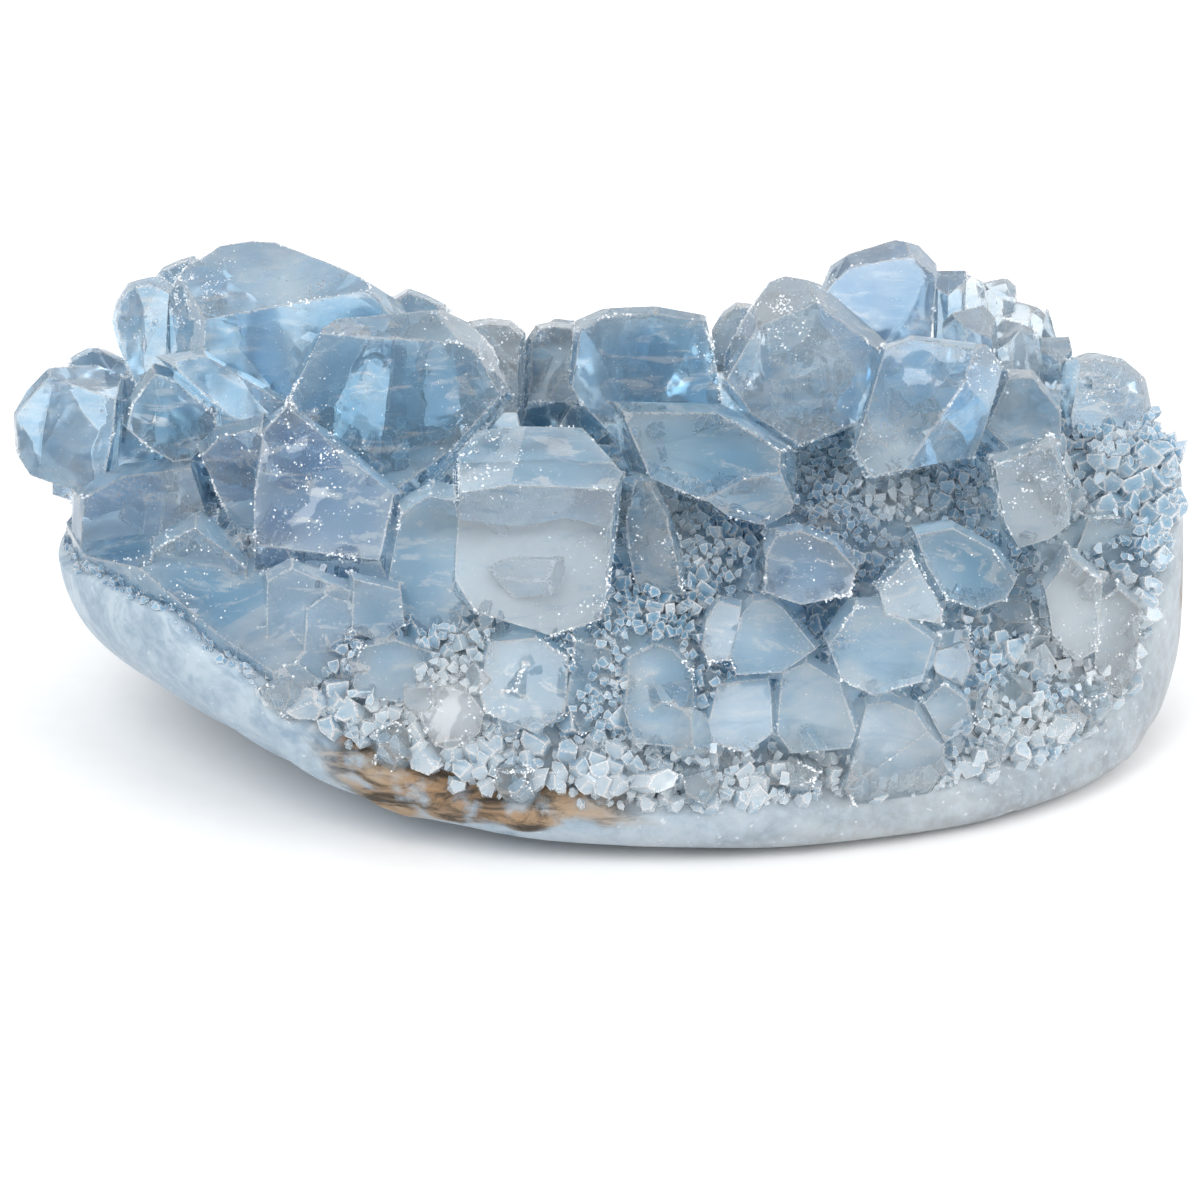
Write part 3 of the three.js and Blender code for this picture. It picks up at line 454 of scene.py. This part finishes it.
# growth hills: inside a facet the points rise and fall a little along its normal
near_ridge = np.maximum(ridge, mean_of_neighbours(ridge, ends))
inside = 1 - smoothstep(0.0, 0.02, near_ridge)
outward = np.zeros_like(points)
for k in range(3):
    np.add.at(outward, corners[:, k], normals)
outward /= np.maximum(np.linalg.norm(outward, axis=1, keepdims=True), 1e-9)
hills = HILL_HEIGHTS[0] * waves(points, 7.0, 33) + HILL_HEIGHTS[1] * waves(points, 3.0, 34)
points += outward * (hills * inside * shown_vertex)[:, None]
mesh.vertices.foreach_set("co", (points * MM).astype(np.float32).ravel())
mesh.polygons.foreach_set("use_smooth", [True] * len(mesh.polygons))
mesh.set_sharp_from_angle(angle=math.radians(9))
put_values(crystals, "ridge", ridge)
# painted glow: a milky white that spreads a few edges from each ridge, painted light beside the
# ridges
painted_edge_glow = ridge.copy()
for _ in range(PAINTED_GLOW_STEPS):
    painted_edge_glow = np.maximum(painted_edge_glow, mean_of_neighbours(painted_edge_glow, ends))
put_values(crystals, "painted_edge_glow", painted_edge_glow)
mesh.update()


def seen_in_picture(at):
    """Where points of the frame, in millimetres, are seen from the front: across and up in the
    plane square to the view, as the crystals' outlines are drawn, and how far back they are."""
    across, back, up = (at - TO_FRAME).T
    cos, sin = math.cos(FACING), math.sin(FACING)
    depth = up * sin - back * cos
    nearer = (EYE["depth"] - EYE["plane"]) / (EYE["depth"] - depth)
    level = back * sin + up * cos
    return across * nearer, EYE["up"] + (level - EYE["up"]) * nearer, depth


# Where crystals differ in colour, and where shade is painted as deep blue and light as white:
# across, up, radius, deep blue, white and violet, each 0 to 1.
TINTS = [
    (4.5, 36, 7, 0.5, 0, 0), (8, 27, 7, 0.6, 0, 0), (-36, 24, 5, 1, 0, 0.3),
    (-29, 20, 8, 0.5, 0, 0.7), (-28, 11, 10, 1, 0, 0.25), (-20.6, 15, 2.5, 0.7, 0, 0),
    (8, 11, 6, 1, 0, 0), (-5, 5, 7, 0.9, 0, 0), (38, 15, 6, 0.5, 0, 0), (48, 25, 3.5, 0.35, 0, 0),
    (52, 16.5, 5, 0.3, 0, 0), (-22, 35, 8, 0.85, 0, 0), (21, 15.5, 7, 0.9, 0, 0.4),
    (57, 22, 7, 0.6, 0, 0), (-44, 31, 7, 1, 0, 0), (-52, 32.3, 2.5, 0.5, 0, 0.2),
    (-50, 21, 6, 0, 0.2, 0.4), (-5, 28, 6, 1, 0, 0), (29, 44, 6, 0.3, 0.5, 0.7),
    (14, 22, 4, 0.3, 0, 0), (-46, 40, 4, 0, 0.7, 0), (-12, 25, 4, 0, 0.7, 0),
    (-6, 16, 9, 0, 0.85, 0), (17, 39, 6, 0, 1, 0), (38.5, 22, 2.5, 0, 1, 0),
    (44, 23.5, 6, 0, 0.9, 0), (42, 39, 9, 0, 0.9, 0), (49, 9, 9, 0, 1, 0), (-15, 0.5, 8, 0, 1, 0),
    (-31, 2.5, 7, 0, 1, 0), (6, 19.5, 5, 0, 1, 0), (13, 8, 4, 0, 0.6, 0), (-55, 27, 4, 0, 0.5, 0),
    (52, 32, 6, 0.5, 0, 0), (21, 33, 7, 0, 0.5, 0), (27, 9, 6, 0, 0.5, 0), (28, -2, 6, 0, 0.5, 0),
    (32, 31, 6, 0, 0.4, 0), (29, 20, 6, 0, 0.9, 0), (37, 29, 4, 0, 0.4, 0), (-9, 37, 8, 0, 1, 0),
    (-18, 18, 4, 0, 0.45, 0), (-35, 39, 8, 0, 0.4, 0),
]
# At the back, deep blue, white and violet: the most of each, the noise from which it starts,
# and the noise's length.
BACK_TINTS = [(0.45, 0.2, 17), (0.5, 0.2, 14), (0.4, 0.3, 24)]
LOW_FRONT_WHITE = 0.62


def facet_tints(at, seed):
    """Deep, white and violet for places of the frame. In front each is the largest of the listed
    spots, every spot a bell curve round its middle; at the back they are wide waves. The spots
    are partly the crystals' own colour and partly painted shade as deep blue and painted light as
    white. White grows towards the low front, where the crystals are small, and is less where it
    is deep."""
    across, up, depth = seen_in_picture(at)
    in_front = smoothstep(-18, -8, depth)
    at_back = np.stack([most * smoothstep(start, 1.2, waves(at, length, seed + k))
                        for k, (most, start, length) in enumerate(BACK_TINTS)])
    found = np.zeros((3, len(at)))
    for x, v, radius, *amounts in TINTS:
        bell = np.exp(-((across - x)**2 + (up - v)**2) / (0.7 * radius)**2 / 2)
        found = np.maximum(found, bell * np.array(amounts)[:, None])
    low_front = 1 - smoothstep(-6, 12, up)
    found[1] = np.maximum(found[1], LOW_FRONT_WHITE * low_front) * (1 - 0.7 * found[0])
    return np.clip(found * in_front + at_back * (1 - in_front), 0, 1)


def put_clouds(piece, at):
    """Milky clouds and frosted patches of each vertex, from 0 to 1, as smooth noise."""
    put_values(piece, "clouds", smoothstep(-0.5, 1.0, waves(at, 15, 51) + 0.5 * waves(at, 5, 52)))
    put_values(piece, "frost", smoothstep(0.55, 1.1, waves(at, 9, 53) + 0.4 * waves(at, 2.5, 54)))


def put_tints(piece, at, seed, **more):
    """Writes the tints and other numbers of each face of a piece, for its material to read."""
    values = dict(zip(("deep", "white", "violet"), facet_tints(at, seed)), **more)
    for name, numbers in values.items():
        attribute = piece.data.attributes.new(name, "FLOAT", "FACE")
        attribute.data.foreach_set("value", np.asarray(numbers, np.float32))


first_of = np.unique(facets, return_inverse=True)[1]
middles = points[corners].mean(axis=1)
counts = np.bincount(first_of)
facet_middles = np.stack([np.bincount(first_of, middles[:, k]) / counts for k in range(3)], -1)
lot = np.random.default_rng(5).uniform(0, 1, len(counts))
put_tints(crystals, facet_middles[first_of], 41, lot=lot[first_of])
put_clouds(crystals, points)


CELESTITE = {
    "clear": (0.27, 0.57, 0.83, 1),
    "cloudy": (0.69, 0.87, 0.98, 1),
    "deep": (0.11, 0.34, 0.54, 1),
    "violet": (0.29, 0.37, 0.59, 1),
    "milk_and_painted_glow": (0.88, 0.94, 0.98, 1),
    # white of chipped ridges, and of painted highlights and glints
    "chip_white_and_highlight": (0.98, 0.99, 1.0, 1),
}
REFRACTION = 1.62


def celestite_look():
    """The colour and roughness of celestite, for the large crystals and the druse: blue to deep
    blue by its facets, with painted shade as deeper blue on random facets, with milky clouds and
    feathers and a painted glow beside the ridges, white where ridges are chipped together with
    painted highlight lines on the ridges and painted glints as white specks, and frosted in
    patches and on some facets."""
    group = bpy.data.node_groups.new("celestite_look", "ShaderNodeTree")
    group.interface.new_socket("Whiter", in_out="INPUT", socket_type="NodeSocketFloat")
    group.interface.new_socket("Color", in_out="OUTPUT", socket_type="NodeSocketColor")
    group.interface.new_socket("Roughness", in_out="OUTPUT", socket_type="NodeSocketFloat")
    n = Nodes(group)
    place = n.place()
    drawn_out = n.add("ShaderNodeVectorMath", {0: place, 1: (0.45, 1.0, 1.5)}, operation="MULTIPLY")
    feathers = n.noise(drawn_out.outputs[0], 330, 4, 0.7, 1.2)
    wisps = n.ramp(feathers, 0.52, 0.62)
    fine = n.noise(place, 3200, 1, 0.6)
    lot, painted_edge_glow = n.value_of("lot"), n.value_of("painted_edge_glow")
    blue = n.mix(n.value_of("clouds"), CELESTITE["clear"], CELESTITE["cloudy"])
    # painted shade: facets with a low lot turn deeper blue; where the feather noise is low the blue
    # is deeper too, as real dark clouds
    dark = n.math("MAXIMUM", n.ramp(lot, 0.3, 0.0), n.ramp(feathers, 0.46, 0.34))
    deep = n.math("MAXIMUM", n.value_of("deep"), n.math("MULTIPLY", dark, 0.5))
    blue = n.mix(deep, blue, CELESTITE["deep"])
    violet = n.math("MULTIPLY", n.value_of("violet"), 0.8)
    blue = n.mix(violet, blue, CELESTITE["violet"])
    # milky wisps, and white specks beside the ridges as a painted glow
    milk_and_painted_glow = n.math("MULTIPLY", n.math("MAXIMUM", wisps, n.math("MULTIPLY", painted_edge_glow, fine)), 0.75)
    whiter = n.add("NodeGroupInput").outputs["Whiter"]
    even = n.math("MAXIMUM", n.value_of("white"), whiter)
    uneven = n.ramp(n.math("MULTIPLY_ADD", even, 0.5, feathers), 0.6, 0.9)
    white = n.math("MAXIMUM", n.math("MULTIPLY", n.math("ADD", even, uneven), 0.5), milk_and_painted_glow)
    colour = n.mix(white, blue, CELESTITE["milk_and_painted_glow"])
    frost = n.math("MAXIMUM", n.value_of("frost"), n.ramp(lot, 0.75, 0.95))
    # white lines on the sharp ridges and white specks over the faces: partly chipped and frosted
    # crystal, partly painted highlights and glints
    ridge_white_and_glints = n.math("MULTIPLY", n.ramp(n.value_of("ridge"), 0.66, 0.95), n.ramp(fine, 0.3, 0.5))
    fleck_and_glint_limit = n.math("MULTIPLY_ADD", n.value_of("frost"), -0.11, 0.76)
    fleck_and_glint_limit = n.math("MULTIPLY_ADD", wisps, -0.05, fleck_and_glint_limit)
    ridge_white_and_glints = n.math("MAXIMUM", ridge_white_and_glints, n.math("GREATER_THAN", fine, fleck_and_glint_limit))
    found = n.add("NodeGroupOutput")
    n.set(found.inputs["Color"], n.mix(ridge_white_and_glints, colour, CELESTITE["chip_white_and_highlight"]))
    rough = n.math("MULTIPLY_ADD", frost, 0.2, 0.025)
    n.set(found.inputs["Roughness"], n.math("MAXIMUM", rough, n.math("MULTIPLY", ridge_white_and_glints, 0.5)))
    return group


LOOK = celestite_look()


def crystal_material(name, transmission, whiter):
    """Clear blue crystal, seen through as far as its transmission says."""
    material, n, shader = new_material(name)
    look = n.add("ShaderNodeGroup", node_tree=LOOK)
    look.inputs["Whiter"].default_value = whiter
    n.set(shader.inputs["Base Color"], look.outputs["Color"])
    n.set(shader.inputs["Roughness"], look.outputs["Roughness"])
    shader.inputs["IOR"].default_value = REFRACTION
    shader.inputs["Transmission Weight"].default_value = transmission
    return material


crystals.data.materials.append(crystal_material("celestite_crystal", 0.82, 0.0))
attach(crystals, "root")
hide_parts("crystals")


# Druse

# Between the large crystals, along the rim and over the back stand hundreds of crystals of one to
# six millimetres, the druse. It is milkier than the large crystals and grew on the same layer.

PRISM = np.array([
    # across, through, up: the foot of the hexagonal prism, its shoulder, and the chisel's edge
    [1, 0, -1], [0.5, 1, -1], [-0.5, 1, -1], [-1, 0, -1], [-0.5, -1, -1], [0.5, -1, -1],
    [1, 0, 0.22], [0.5, 1, 0.61], [-0.5, 1, 0.61], [-1, 0, 0.22], [-0.5, -1, 0.61],
    [0.5, -1, 0.61], [0, 1, 1], [0, -1, 1],
])
PRISM_FACES = [
    [0, 1, 7, 6], [2, 3, 9, 8], [3, 4, 10, 9], [5, 0, 6, 11], [1, 2, 8, 12, 7], [4, 5, 11, 13, 10],
    [6, 7, 12, 13, 11], [9, 10, 13, 12, 8], [5, 4, 3, 2, 1, 0],
]


def turned_axes(along, turns):
    """For each growth direction, two axes square to it, turned about it by an angle."""
    along = along / np.linalg.norm(along, axis=1, keepdims=True)
    helper = np.where(np.abs(along[:, 2:]) < 0.9, [[0, 0, 1.0]], [[1.0, 0, 0]])
    first = np.cross(along, helper)
    first /= np.linalg.norm(first, axis=1, keepdims=True)
    second = np.cross(along, first)
    cos, sin = np.cos(turns)[:, None], np.sin(turns)[:, None]
    return first * cos + second * sin, second * cos - first * sin, along


def stand_crystals(name, at, along, sizes, seed):
    """One piece of many crystals: the prism's corners times each one's half sizes, on its own
    three axes, at its own place. Each facet is a fan from its middle, and the attributes ridge
    and painted_edge_glow fall from 1 at its edge to 0 there: they paint a white highlight along
    every edge and a glow that fades towards each facet's middle."""
    rng = np.random.default_rng(seed)
    across, through, up = turned_axes(along, rng.uniform(0, np.pi, len(at)))
    wide = sizes[:, None, None]
    thick = wide * rng.uniform(0.45, 0.95, (len(at), 1, 1))
    long = wide * rng.uniform(1.0, 2.0, (len(at), 1, 1))
    corner = PRISM[None] * (1 + rng.uniform(-0.05, 0.05, (len(at), len(PRISM), 3)))
    points = at[:, None] + corner[..., :1] * wide * across[:, None]
    points = points + corner[..., 1:2] * thick * through[:, None]
    points = points + corner[..., 2:] * long * up[:, None]
    first = np.arange(len(at)) * (len(PRISM) + len(PRISM_FACES))
    facet_middles = [points[:, face].mean(axis=1, keepdims=True) for face in PRISM_FACES]
    points = np.concatenate([points, *facet_middles], axis=1)
    fans = [[a, b, len(PRISM) + k] for k, face in enumerate(PRISM_FACES)
            for a, b in zip(face, face[1:] + face[:1])]
    faces = (np.array(fans)[None] + first[:, None, None]).reshape(-1, 3)
    piece = new_piece(name, points.reshape(-1, 3), faces.tolist())
    piece.data.set_sharp_from_angle(angle=math.radians(25))
    # painted highlight: the edge values make white rims on every facet edge, fading to a bluer
    # middle
    on_edge = np.tile([1.0] * len(PRISM) + [0.0] * len(PRISM_FACES), len(at))
    put_values(piece, "ridge", on_edge)
    put_values(piece, "painted_edge_glow", on_edge)
    return piece


def open_places(count, seed, toward, spread):
    """Places on the layer between the large crystals: rays from around one direction are cast
    at random points of the mound. Gives each first hit, its normal, the way back along the ray,
    its share of the way out to the rim, its bearing, its height over the mound, and if it hit."""
    rng = np.random.default_rng(seed)
    bearing = rng.uniform(0, 2 * np.pi, count)
    out = np.sqrt(rng.uniform(0.0, 1.0, count))
    aim = mound_points(bearing, out) + TO_FRAME
    way = np.array(toward) + rng.normal(size=(count, 3)) * spread
    way /= np.linalg.norm(way, axis=1, keepdims=True)
    start = aim + way * 150
    hits = [crystal_tree.ray_cast(Vector(s * MM), Vector(-w)) for s, w in zip(start, way)]
    found = np.array([h[0] is not None for h in hits])
    point = np.array([h[0] if h[0] else (0, 0, 0) for h in hits]) / MM
    normal = np.array([h[1] if h[0] else (0, 0, 1) for h in hits])
    at_x = (point[:, 0] - TO_FRAME[0] - RIM["x"]) / RIM["across"]
    at_y = (point[:, 1] - TO_FRAME[1] - RIM["y"]) / RIM["deep"]
    share = np.hypot(at_x, at_y)
    bearing = np.arctan2(at_y, at_x)
    over = point[:, 2] - mound_points(bearing, np.minimum(share, 1))[:, 2]
    return point, normal, way, share, bearing, over, found


def vertex_points(piece):
    """The vertices of a piece, in millimetres."""
    at = np.empty(len(piece.data.vertices) * 3, np.float32)
    piece.data.vertices.foreach_get("co", at)
    return at.reshape(-1, 3) / MM


def piece_middles(piece):
    """The middle of each face of a piece, in millimetres."""
    middles = np.empty(len(piece.data.polygons) * 3, np.float32)
    piece.data.polygons.foreach_get("center", middles)
    return middles.reshape(-1, 3) / MM


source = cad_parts["crystals"].data
crystal_tree = BVHTree.FromPolygons([v.co for v in source.vertices],
                                    [list(p.vertices) for p in source.polygons])
druse_material = crystal_material("celestite_druse", 0.45, 0.1)
MOST_ACROSS, MOST_BACK = 60, 38.6  # no crystal of the druse reaches past these
LEAST_OVER, RIM_SHARE = -1.5, 0.985  # the lowest over the mound, and how far out it stands
APART = 0.5  # the least distance of two crystals, as a share of their half widths' sum
SUNK = 0.4  # how deep a crystal sits in the layer, as a share of its half width
DRUSE = [
    # piece, rays, seed, seen from, spread, highest over the mound, smallest, largest half width
    ("druse_front", 16000, 21, (0, -0.9, 0.5), 0.35, 3.5, 0.45, 2.4),
    ("druse_back", 6000, 22, (0, 0.8, 0.7), 0.5, 4.5, 0.6, 3.2),
]
for name, rays, seed, toward, spread, highest, smallest, largest in DRUSE:
    point, normal, way, share, bearing, over, found = open_places(rays, seed, toward, spread)
    rng = np.random.default_rng(seed + 100)
    keep = found & (over < highest) & (share < RIM_SHARE) & (over > LEAST_OVER)
    front = np.sin(bearing) < 0.25
    keep &= front if name == "druse_front" else ~front
    # the edge of the left flank is bare
    keep &= ~((np.cos(bearing) < -0.55) & (share > 0.8) & front)
    # they are smaller near the right end and where they stand high over the mound
    most = np.where((point[:, 0] > 15) & (share > 0.55), np.minimum(largest, 1.5), largest)
    most = np.minimum(most, np.maximum(2.6 - 0.7 * over, 0.7))
    size = smallest + (most - smallest) * rng.uniform(0, 1, rays)**1.8
    keep &= np.abs(point[:, 0]) + 1.5 * size < MOST_ACROSS
    keep &= np.abs(point[:, 1]) + 2 * size < MOST_BACK
    grow = normal * 0.9 + way * 0.5 + np.array([0, 0, 0.5]) + rng.normal(size=(rays, 3)) * 0.35
    at, grow, size = point[keep], grow[keep], size[keep]
    chosen = []
    for i in np.argsort(-size):
        gaps = np.linalg.norm(at[chosen] - at[i], axis=1)
        if (gaps > APART * (size[i] + size[chosen])).all():
            chosen.append(i)
    sunk = at[chosen] - normal[keep][chosen] * SUNK * size[chosen][:, None]
    piece = stand_crystals(name, sunk, grow[chosen], size[chosen], seed)
    put_tints(piece, piece_middles(piece), 41, lot=rng.uniform(0, 1, len(piece.data.polygons)))
    put_clouds(piece, vertex_points(piece))
    piece.data.materials.append(druse_material)
    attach(piece, "root")


# A last row of small crystals stands along the rim, leaning outwards. Few of them grew on the
# host rock, and those at the left end are half as large.
RIM_CRYSTALS, RIM_BAND = 900, (0.955, 0.992)
ON_HOST, HOST_KEPT = (238, 274), 0.35
rng = np.random.default_rng(81)
bearing = rng.uniform(0, 2 * np.pi, RIM_CRYSTALS)
out = rng.uniform(*RIM_BAND, RIM_CRYSTALS)
on_host = (np.degrees(bearing) > ON_HOST[0]) & (np.degrees(bearing) < ON_HOST[1])
keep = ~on_host | (rng.uniform(0, 1, RIM_CRYSTALS) < HOST_KEPT)
bearing, out = bearing[keep], out[keep]
at = mound_points(bearing, out) + TO_FRAME
outward = np.stack([np.cos(bearing), np.sin(bearing), np.full(len(at), 1.3)], -1)
grow = outward + rng.normal(size=at.shape) * 0.4
size = 0.35 + 0.75 * rng.uniform(0, 1, len(at))**1.5
size *= np.where(np.cos(bearing) < -0.45, 0.5, 1)
at[:, 2] += 0.3 * size
rim_crystals = stand_crystals("druse_rim", at, grow, size, 82)
lot = rng.uniform(0, 1, len(rim_crystals.data.polygons))
put_tints(rim_crystals, piece_middles(rim_crystals), 41, lot=lot)
put_clouds(rim_crystals, vertex_points(rim_crystals))
rim_crystals.data.materials.append(druse_material)
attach(rim_crystals, "root")


# Frost

# A later growth of tiny clear crystals, a tenth to four tenths of a millimetre, sits in lines
# along chipped ridges and in patches on some facets. It is what glitters white.

FROSTED = [
    # across, up, radius and share: patches where the frost is dense
    (-41, 43, 4, 0.8), (-29, 26, 5, 0.7), (-27, 20, 6, 0.35), (-12.5, 25.5, 4.5, 0.8),
    (18, 41, 4.5, 1), (38.5, 34, 2.5, 0.8), (38.5, 22, 3, 0.8), (44, 24, 4, 0.5),
    (26, 24, 5, 0.3), (5, 17, 5, 0.35), (-46, 40, 4, 0.4), (-43, 14, 5, 0.4), (50, 33, 4, 0.5),
    (-9, 37, 6, 0.5), (49.5, 8, 6, 0.4), (-15, 0.3, 5, 0.5), (-1, 12, 6, 0.3), (12, 35, 3, 0.4),
    (30, 14, 4, 0.35), (22, 15, 4, 0.3),
]


def frost_places(count, seed):
    """Places on the shown faces, each kept with a chance that is high in the listed patches by
    their bell curves."""
    rng = np.random.default_rng(seed)
    a, b, c = (points[corners[:, k]] for k in range(3))
    area = np.linalg.norm(np.cross(b - a, c - a), axis=1) * (facets >= 0)
    face = rng.choice(len(corners), count, p=area / area.sum())
    share = rng.dirichlet((1, 1, 1), count)
    at = (points[corners[face]] * share[..., None]).sum(axis=1)
    across, up, depth = seen_in_picture(at)
    dense = np.zeros(count)
    for x, v, radius, most in FROSTED:
        bell = np.exp(-((across - x)**2 + (up - v)**2) / (0.6 * radius)**2 / 2)
        dense = np.maximum(dense, most * bell * smoothstep(0, 8, depth))
    speckled = dense * smoothstep(-0.3, 0.8, waves(at, 2.2, seed + 1))
    keep = rng.uniform(0, 1, count) < speckled
    return at[keep], normals[face][keep]


def ridge_places(count, seed):
    """Places along the sharp ridges: each short edge is drawn by its length, its sharpness and
    slow noise, so that a ridge is frosted in stretches."""
    rng = np.random.default_rng(seed)
    a, b = points[ends[:, 0]], points[ends[:, 1]]
    way = a + b - 2 * points.mean(axis=0)
    bright = smoothstep(0.2, 1.0, waves(a, 7, seed) + 0.5 * waves(a, 1.6, seed + 1)) + 0.01
    shown = shown_vertex[ends].all(axis=1)
    chance = np.linalg.norm(a - b, axis=1) * smoothstep(0.12, 0.5, turns) * bright * shown
    edge = rng.choice(len(ends), count, p=chance / chance.sum())
    share = rng.uniform(0, 1, (count, 1))
    at = a[edge] * share + b[edge] * (1 - share)
    return at + rng.normal(size=at.shape) * 0.12, way[edge]


GRAIN = np.array([[1, 0, 0], [0, 1, 0], [-1, 0, 0], [0, -1, 0], [0, 0, 1], [0, 0, -1]], float)
GRAIN_FACES = [
    [0, 1, 4], [1, 2, 4], [2, 3, 4], [3, 0, 4], [1, 0, 5], [2, 1, 5], [3, 2, 5], [0, 3, 5],
]
FROST_TRIES, RIDGE_GRAINS = 500000, 11000
SMALLEST_GRAIN, LARGER_BY = 0.05, 0.13
at, normal = frost_places(FROST_TRIES, 61)
line_at, line_out = ridge_places(RIDGE_GRAINS, 64)
at, normal = np.concatenate([at, line_at]), np.concatenate([normal, line_out / 30])
rng = np.random.default_rng(62)
size = SMALLEST_GRAIN + LARGER_BY * rng.uniform(0, 1, len(at))**3
grow = normal + rng.normal(size=at.shape) * 0.6
first, second, third = turned_axes(grow, rng.uniform(0, np.pi, len(at)))
axes = np.stack([first, second * 0.7, third], axis=1) * size[:, None, None]
grain_points = (at[:, None] + GRAIN @ axes).reshape(-1, 3)
grain_start = np.arange(len(at))[:, None, None] * len(GRAIN)
grain_faces = (np.array(GRAIN_FACES)[None] + grain_start).reshape(-1, 3)
frost = new_piece("frost", grain_points, grain_faces.tolist(), smooth=False)


def frost_material():
    """Tiny clear crystals that look white together."""
    material, n, shader = new_material("celestite_frost")
    tone = n.noise(n.place(), 200, 2)
    n.set(shader.inputs["Base Color"], n.mix(tone, (0.88, 0.93, 0.97, 1), (0.97, 0.98, 0.99, 1)))
    shader.inputs["Roughness"].default_value = 0.12
    shader.inputs["IOR"].default_value = REFRACTION
    return material


frost.data.materials.append(frost_material())
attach(frost, "root")


# Floor, light and camera

# A pale floor, a large soft light over the front left, a weaker one from the right and one from
# behind that shines through the crystals. The camera looks 25 degrees down at the low front.

CAMERA = {"distance": 500, "height": 12.47, "lens": 150, "sensor": 36}


def floor_material():
    """Matt white board with a faint grain."""
    material, n, shader = new_material("white_board")
    grain = n.noise(n.place(), 400, 2)
    n.set(shader.inputs["Base Color"], n.mix(grain, (0.88, 0.88, 0.88, 1), (0.92, 0.92, 0.92, 1)))
    shader.inputs["Roughness"].default_value = 0.9
    return material


half = 3000
board = np.array([[-half, -half, 0], [half, -half, 0], [half, half, 0], [-half, half, 0]], float)
floor = new_piece("floor", board, [[0, 1, 2, 3]])
floor.data.materials.append(floor_material())

LIGHTS = [
    # name, place, size, watts
    ("key", (-260, -330, 480), 380, 1.6),
    ("fill", (420, -260, 300), 380, 1.5),
    ("behind", (60, 450, 420), 900, 2.1),
]
for name, place, size, watts in LIGHTS:
    light = bpy.data.lights.new(name, "AREA")
    light.size = size * MM
    light.energy = watts
    lamp = bpy.data.objects.new(name, light)
    lamp.location = Vector(place) * MM
    lamp.rotation_euler = (-lamp.location).to_track_quat("-Z", "Y").to_euler()
    bpy.context.scene.collection.objects.link(lamp)

world = bpy.data.worlds.new("soft_room")
world.use_nodes = True
world.node_tree.nodes["Background"].inputs["Color"].default_value = (1, 1, 1, 1)
world.node_tree.nodes["Background"].inputs["Strength"].default_value = 0.8
bpy.context.scene.world = world

target = Vector((TO_FRAME[0], TO_FRAME[1], CAMERA["height"])) * MM
away = Vector((0, -math.cos(FACING), math.sin(FACING)))
camera = bpy.data.objects.new("camera", bpy.data.cameras.new("camera"))
camera.data.lens = CAMERA["lens"]
camera.data.sensor_width = CAMERA["sensor"]
camera.data.clip_start = 0.01
camera.location = target + away * CAMERA["distance"] * MM
camera.rotation_euler = (-away).to_track_quat("-Z", "Y").to_euler()
bpy.context.scene.collection.objects.link(camera)
bpy.context.scene.camera = camera
bpy.context.scene.view_settings.view_transform = "Standard"
